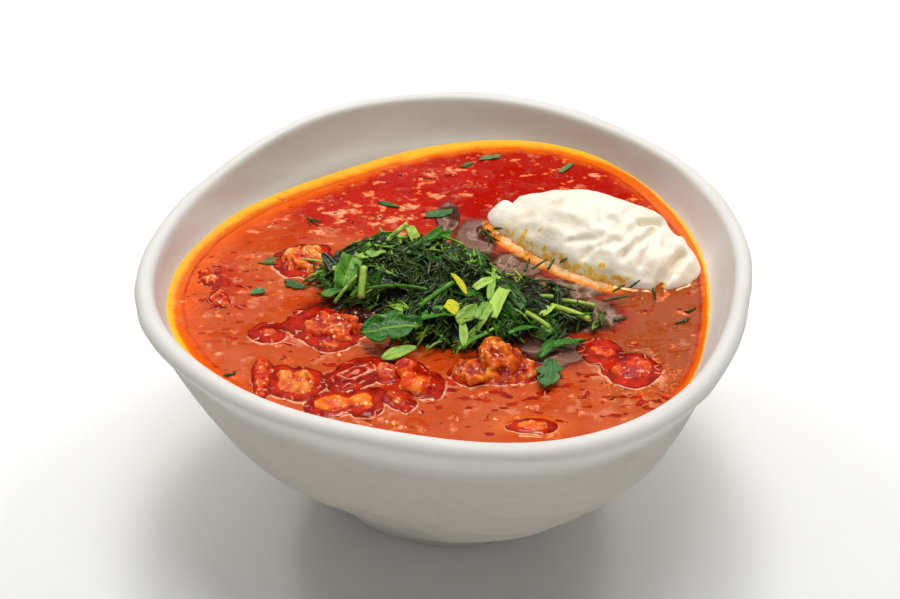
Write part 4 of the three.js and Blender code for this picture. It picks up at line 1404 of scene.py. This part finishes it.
# Cut stalks: place, length, thickness, turn, lean, height above the broth, tone, and how
# lime-yellow
HEAP_STALKS = [
    ((-13.1, 9.4), 7.6, 1.5, 18, 38, 10.4, 1.1, 0.1),
    ((-22.2, -10.4), 9.8, 2.1, 87, 21, 7.4, 0.85, 0.1),
    ((-26.8, -10.9), 10.2, 1.0, 53, 20, 5.6, 0.7, 0),
    ((-2.2, -19.0), 12.5, 1.3, 45, 7, 9.4, 0.5, 0),
    ((36.0, -15.2), 9.0, 1.2, -6, -7, 3.6, 0.8, 0.3),
    ((33.5, -19.7), 11.0, 1.6, -22, -8, 3.8, 0.9, 0.4),
    ((24.6, -25.0), 8.0, 1.3, -39, -11, 5.2, 0.85, 0.3),
    ((28.5, -14.3), 6.0, 1.3, 0, -8, 4.8, 0.7, 0.3),
    ((2.0, 9.6), 8.0, 0.8, -24, -10, 7.6, 0.6, 0),
    ((9.4, 1.0), 8.0, 1.0, -80, 0, 7.4, 0.4, 0),
    ((-17.0, -13.0), 8.0, 0.9, 8, 0, 7.6, 0.4, 0),
    ((-9.0, -14.0), 9.0, 0.9, -14, 0, 8.2, 0.4, 0),
]
# Leaves on the broth: kind, place, size, turn, tone
FLOATING_LEAVES = [
    ("cut", (-1.8, 34.6), (8.0, 3.6), 11, 0.45),
    ("cut", (-49.2, 10.2), (8.0, 3.4), -1, 0.4),
    ("cut", (-51.5, -4.4), (4.0, 2.8), 14, 0.6),
    ("lobed", (-41.6, -1.4), (6.6, 3.6), -30, 0.3),
    ("blade", (-16.6, 40.0), (7.0, 2.0), -25, 0.4),
    ("cut", (14.0, 66.8), (6.4, 2.2), 11, 0.7),
    ("cut", (37.1, 60.4), (6.4, 1.8), 53, 0.7),
    ("blade", (6.8, 62.6), (4.4, 1.8), 30, 0.45),
]
# Dill on the broth: place, length, turn
FLOATING_DILL = [
    ((-38.5, 31.0), 8.6, -49),
    ((-55.5, -41.5), 4.0, 8),
    ((64.1, -19.0), 7.0, 31),
    ((66.6, -14.2), 4.0, 28),
    ((47.2, -18.2), 5.0, 12),
    ((39.2, -20.9), 5.0, -14),
    ((13.6, 20.5), 8.0, -75),
    ((12.0, 24.5), 6.8, -68),
]
# Bits of dill at the cream's edge: place, length, turn, lean, height above the broth
CREAM_DILL = [
    ((22.9, 3.7), 6.8, 73, 9, 3.2),
    ((26.4, 4.0), 6.3, 39, 9, 3.2),
    ((29.6, 4.0), 5.6, 63, 10, 3.2),
    ((33.3, 5.4), 3.4, 24, 24, 3.6),
    ((15.3, 23.0), 3.4, -21, 18, 2.6),
    ((47.5, -7.9), 4.8, 31, 12, 3.2),
    ((52.0, -6.4), 4.4, 32, 20, 3.6),
    ((57.1, -9.0), 4.4, -83, -30, 2.2),
    ((46.6, -10.4), 8.6, 17, 0, 1.6),
]


def needle_shape(long, width):
    bm = bmesh.new()
    needle(bm, Vector((-long / 2, 0, 0)), Vector((long / 2, 0, 0)), width, 0.15)
    return as_shape(bm, "needle_shape")


def make_dill(finish):
    draw = random.Random(DILL_SEED)
    shapes = [dill_shape(draw, i) for i in range(DILL_SHAPES)]
    heap = Sprinkling()
    placed = 0
    while placed < DILL_PIECES:
        x, y = draw.uniform(*DILL_X), draw.uniform(*DILL_Y)
        high = herb_height(x, y)
        if high < -0.6 * draw.random() ** 2 or draw.random() < 0.72 * loose(x, y):
            continue
        yaw = draw.gauss(38, 45) if draw.random() < 0.6 else draw.uniform(0, 360)
        lean = clamp(slope_along(x, y, yaw) + draw.gauss(0, 15), -STEEPEST, STEEPEST)
        top = draw.random()
        lift = max(high, 0.3) + 2.5 * top * (1 - 0.6 * loose(x, y))
        # Random tone, with painted light on the bits lifted highest and painted shade in the heap's
        # hollow
        tone = (1.1 * draw.random() ** 3 + 0.3 * top**3) * (0.2 + 0.8 * in_light(x, y))
        turn = lying(yaw, lean, draw.uniform(-40, 40))
        heap.add(draw.choice(shapes), turn, Vector((x, y, SOUP_LEVEL + lift)), tone)
        placed += 1
    for at, long, yaw, lean, lift in CREAM_DILL:
        heap.add(needle_shape(long, 0.9), lying(yaw, lean), Vector((*at, SOUP_LEVEL + lift)), 0.3)
    as_piece("chopped_dill", heap.bm, finish, "herbs", "herb_heap")


def make_leaves(finish):
    draw = random.Random(LEAF_SEED)
    heap = Sprinkling()
    for i, (kind, at, size, yaw, lean, roll, lift, tone, lime) in enumerate(HEAP_LEAVES):
        shape = leaf_shape(kind, *size, curl=0.5, cuts=(22, 12), thick=0.3, seed=i)
        heap.add(shape, lying(yaw, lean, roll), Vector((*at, SOUP_LEVEL + lift)), tone, lime)
    bits = []
    for i in range(LEAF_SHAPES):
        kind = ("cut", "blade", "cut", "lobed")[i % 4]
        size = (draw.uniform(4.0, 11.0), draw.uniform(1.2, 4.2))
        bits.append(leaf_shape(kind, *size, curl=draw.uniform(-0.4, 0.8), seed=i + 20))
    placed = 0
    while placed < LEAF_BITS:
        x, y = draw.uniform(*LEAF_X), draw.uniform(*LEAF_Y)
        high = herb_height(x, y)
        if high < 0.1 or draw.random() < 0.6 * loose(x, y):
            continue
        yaw = draw.uniform(0, 360)
        lean = clamp(slope_along(x, y, yaw) + draw.gauss(0, 18), -STEEPEST, STEEPEST)
        lift = high + draw.uniform(0.6, 2.2)
        # Random tone, with painted shade in the heap's hollow
        tone = 1.1 * draw.random() ** 2.6 * (0.2 + 0.8 * in_light(x, y))
        turn = lying(yaw, lean, draw.gauss(0, 26))
        heap.add(draw.choice(bits), turn, Vector((x, y, SOUP_LEVEL + lift)), tone)
        placed += 1
    for at, long, thick, yaw, lean, lift, tone, lime in HEAP_STALKS:
        place = Vector((*at, SOUP_LEVEL + lift))
        heap.add(stalk_shape(long, thick), lying(yaw, lean), place, tone, lime)
    as_piece("chopped_parsley", heap.bm, finish, "herbs", "herb_heap")


def make_floating(leaf, dill):
    leaves = Sprinkling()
    for i, (kind, at, size, yaw, tone) in enumerate(FLOATING_LEAVES):
        shape = leaf_shape(kind, *size, cuts=(14, 8), thick=0.3, seed=i + 40)
        leaves.add(shape, lying(yaw), Vector((*at, SOUP_LEVEL + 0.05)), tone)
    as_piece("floating_leaves", leaves.bm, leaf, "herbs", "soup")
    draw = random.Random(DILL_SEED)
    needles = Sprinkling()
    for at, long, yaw in FLOATING_DILL:
        for off in (-1, 0, 1):
            shape = needle_shape(long * (0.5 + 0.4 * (off == 0)), 0.6)
            place = Vector((at[0] + off * 0.9, at[1] + off * 0.6, SOUP_LEVEL + 0.35))
            needles.add(shape, lying(yaw + off * draw.uniform(10, 40)), place, 0.3)
    as_piece("floating_dill", needles.bm, dill, "herbs", "soup")


def make_front_leaf(finish):
    shape = leaf_shape("lobed", 11.5, 6.8, curl=0.2, cuts=(26, 16), thick=0.35, seed=60)
    lone = Sprinkling()
    lone.add(shape, lying(78), Vector((26.8, -43.2, SOUP_LEVEL + 1.3)), 0.5)
    as_piece("front_leaf", lone.bm, finish, "herbs", "parsley_leaf_front")


CORE_SHARE = 0.95  # of the mounds' size in plan
CORE_SINK = 1.5  # how far it reaches below the broth's level
CORE_VOXEL = 0.9


def make_herb_core(finish):
    """The wet, dark inside of the heap, under the leaves that show; its near black partly stands for
    the shade deep in the heap, painted.
    """
    bm = bmesh.new()
    for at, half, yaw in HERB_MOUNDS:
        made = bmesh.ops.create_icosphere(bm, subdivisions=5, radius=1.0)["verts"]
        turn = Matrix.Rotation(math.radians(yaw), 4, "Z")
        for v in made:
            up = half[2] if v.co.z > 0 else CORE_SINK
            size = Vector((half[0] * CORE_SHARE, half[1] * CORE_SHARE, up))
            v.co = turn @ (v.co * size) + Vector((*at, SOUP_LEVEL))
    bm = remeshed(bm, CORE_VOXEL)
    push_out(bm, crags(2.2, 0.8, 0.8))
    layer = bm.verts.layers.float.new("loose")
    for v in bm.verts:
        v[layer] = loose(v.co.x, v.co.y)
    as_piece("herb_core", bm, finish, "herbs", "herb_heap")


# ---------------------------------------------------------------- light, floor and camera

CAMERA_AT = Vector((1.42, -398.22, 349.60))
CAMERA_DOWN = 35.47  # degrees below the horizon
CAMERA_ROLL = -0.28
CAMERA_LENS = 70.0


def make_camera():
    lens = bpy.data.cameras.new("camera")
    lens.lens = CAMERA_LENS
    lens.sensor_width = 36.0
    lens.clip_start = 0.01
    camera = in_scene("camera", lens)
    camera.location = CAMERA_AT * MM
    down = Matrix.Rotation(math.radians(90 - CAMERA_DOWN), 3, "X")
    roll = Matrix.Rotation(math.radians(CAMERA_ROLL), 3, "Z")
    camera.rotation_euler = (down @ roll).to_euler()
    bpy.context.scene.camera = camera


def make_lamp(name, place, target, size, radiance, colour):
    """A flat soft lamp of (width, height) metres at `place`, facing `target`."""
    light = bpy.data.lights.new(name, "AREA")
    light.shape = "RECTANGLE"
    light.size, light.size_y = size
    light.energy = radiance * math.pi * size[0] * size[1]
    light.color = colour
    lamp = in_scene(name, light)
    lamp.location = place
    towards = Vector(target) - Vector(place)
    lamp.rotation_euler = towards.to_track_quat("-Z", "Y").to_euler()


SOUP_AT = (0, 0, 0.07)  # metres, what most lamps face
BACK_FAR = 1.2
BACK_RISE = math.radians(60)
WHITE = (1.0, 1.0, 1.0)
WORLD_LIGHT = 0.11
# Each lamp, in metres: place, what it faces, width and height, radiance, colour
LAMPS = {
    # The tall window-like one behind: its lower edge is what the broth mirrors at its middle
    "back_window": (
        (0.0, BACK_FAR * math.cos(BACK_RISE), BACK_FAR * math.sin(BACK_RISE) + SOUP_AT[2]),
        SOUP_AT, (1.9, 1.17), 1.2, (1.0, 0.98, 0.95),
    ),
    # Small bright ones, for the lines of light on the broth's steeper places and on what is wet
    "high_window": ((0.0, 0.3, 1.13), SOUP_AT, (0.2, 0.08), 36, WHITE),
    "left_window": ((-0.6, 0.5, 0.95), SOUP_AT, (0.1, 0.14), 40, WHITE),
    "right_window": ((0.5, 0.3, 1.0), SOUP_AT, (0.1, 0.12), 40, WHITE),
    # Large soft ones, for the bowl and the food
    "overhead": ((0.05, 0.05, 1.45), (0, 0, 0), (0.7, 0.5), 7.5, (0.98, 0.99, 1.0)),
    "front_fill": ((0.2, -1.6, 0.9), (0, 0, 0.05), (1.6, 1.0), 1.15, WHITE),
}


def make_light():
    for name, lamp in LAMPS.items():
        make_lamp(name, *lamp)
    world = bpy.data.worlds.new("studio")
    world.use_nodes = True
    sky = world.node_tree.nodes["Background"].inputs
    sky["Color"].default_value = (*WHITE, 1.0)
    sky["Strength"].default_value = WORLD_LIGHT
    bpy.context.scene.world = world
    bpy.context.scene.view_settings.view_transform = "Standard"


FLOOR_REACH = 4.0  # metres, to each side


def make_floor():
    bm = bmesh.new()
    bmesh.ops.create_grid(bm, x_segments=8, y_segments=8, size=FLOOR_REACH)
    mesh = as_mesh("floor", bm)
    mesh.materials.append(pale_floor())
    in_scene("floor", mesh)


# ---------------------------------------------------------------- assembly


def main():
    make_camera()
    make_light()
    make_floor()
    make_bowl(stoneware_glaze())
    cream = make_cream(soured_cream_finish())
    chunks = make_chunks()
    make_broth(beetroot_broth(), chunks, cream)
    dill, parsley, wet_leaf = (
        leaf_finish(name, *colours) for name, colours in LEAF_COLOURS.items()
    )
    make_herb_core(herb_core_finish())
    make_dill(dill)
    make_leaves(parsley)
    make_floating(wet_leaf, dill)
    make_front_leaf(wet_leaf)


main()
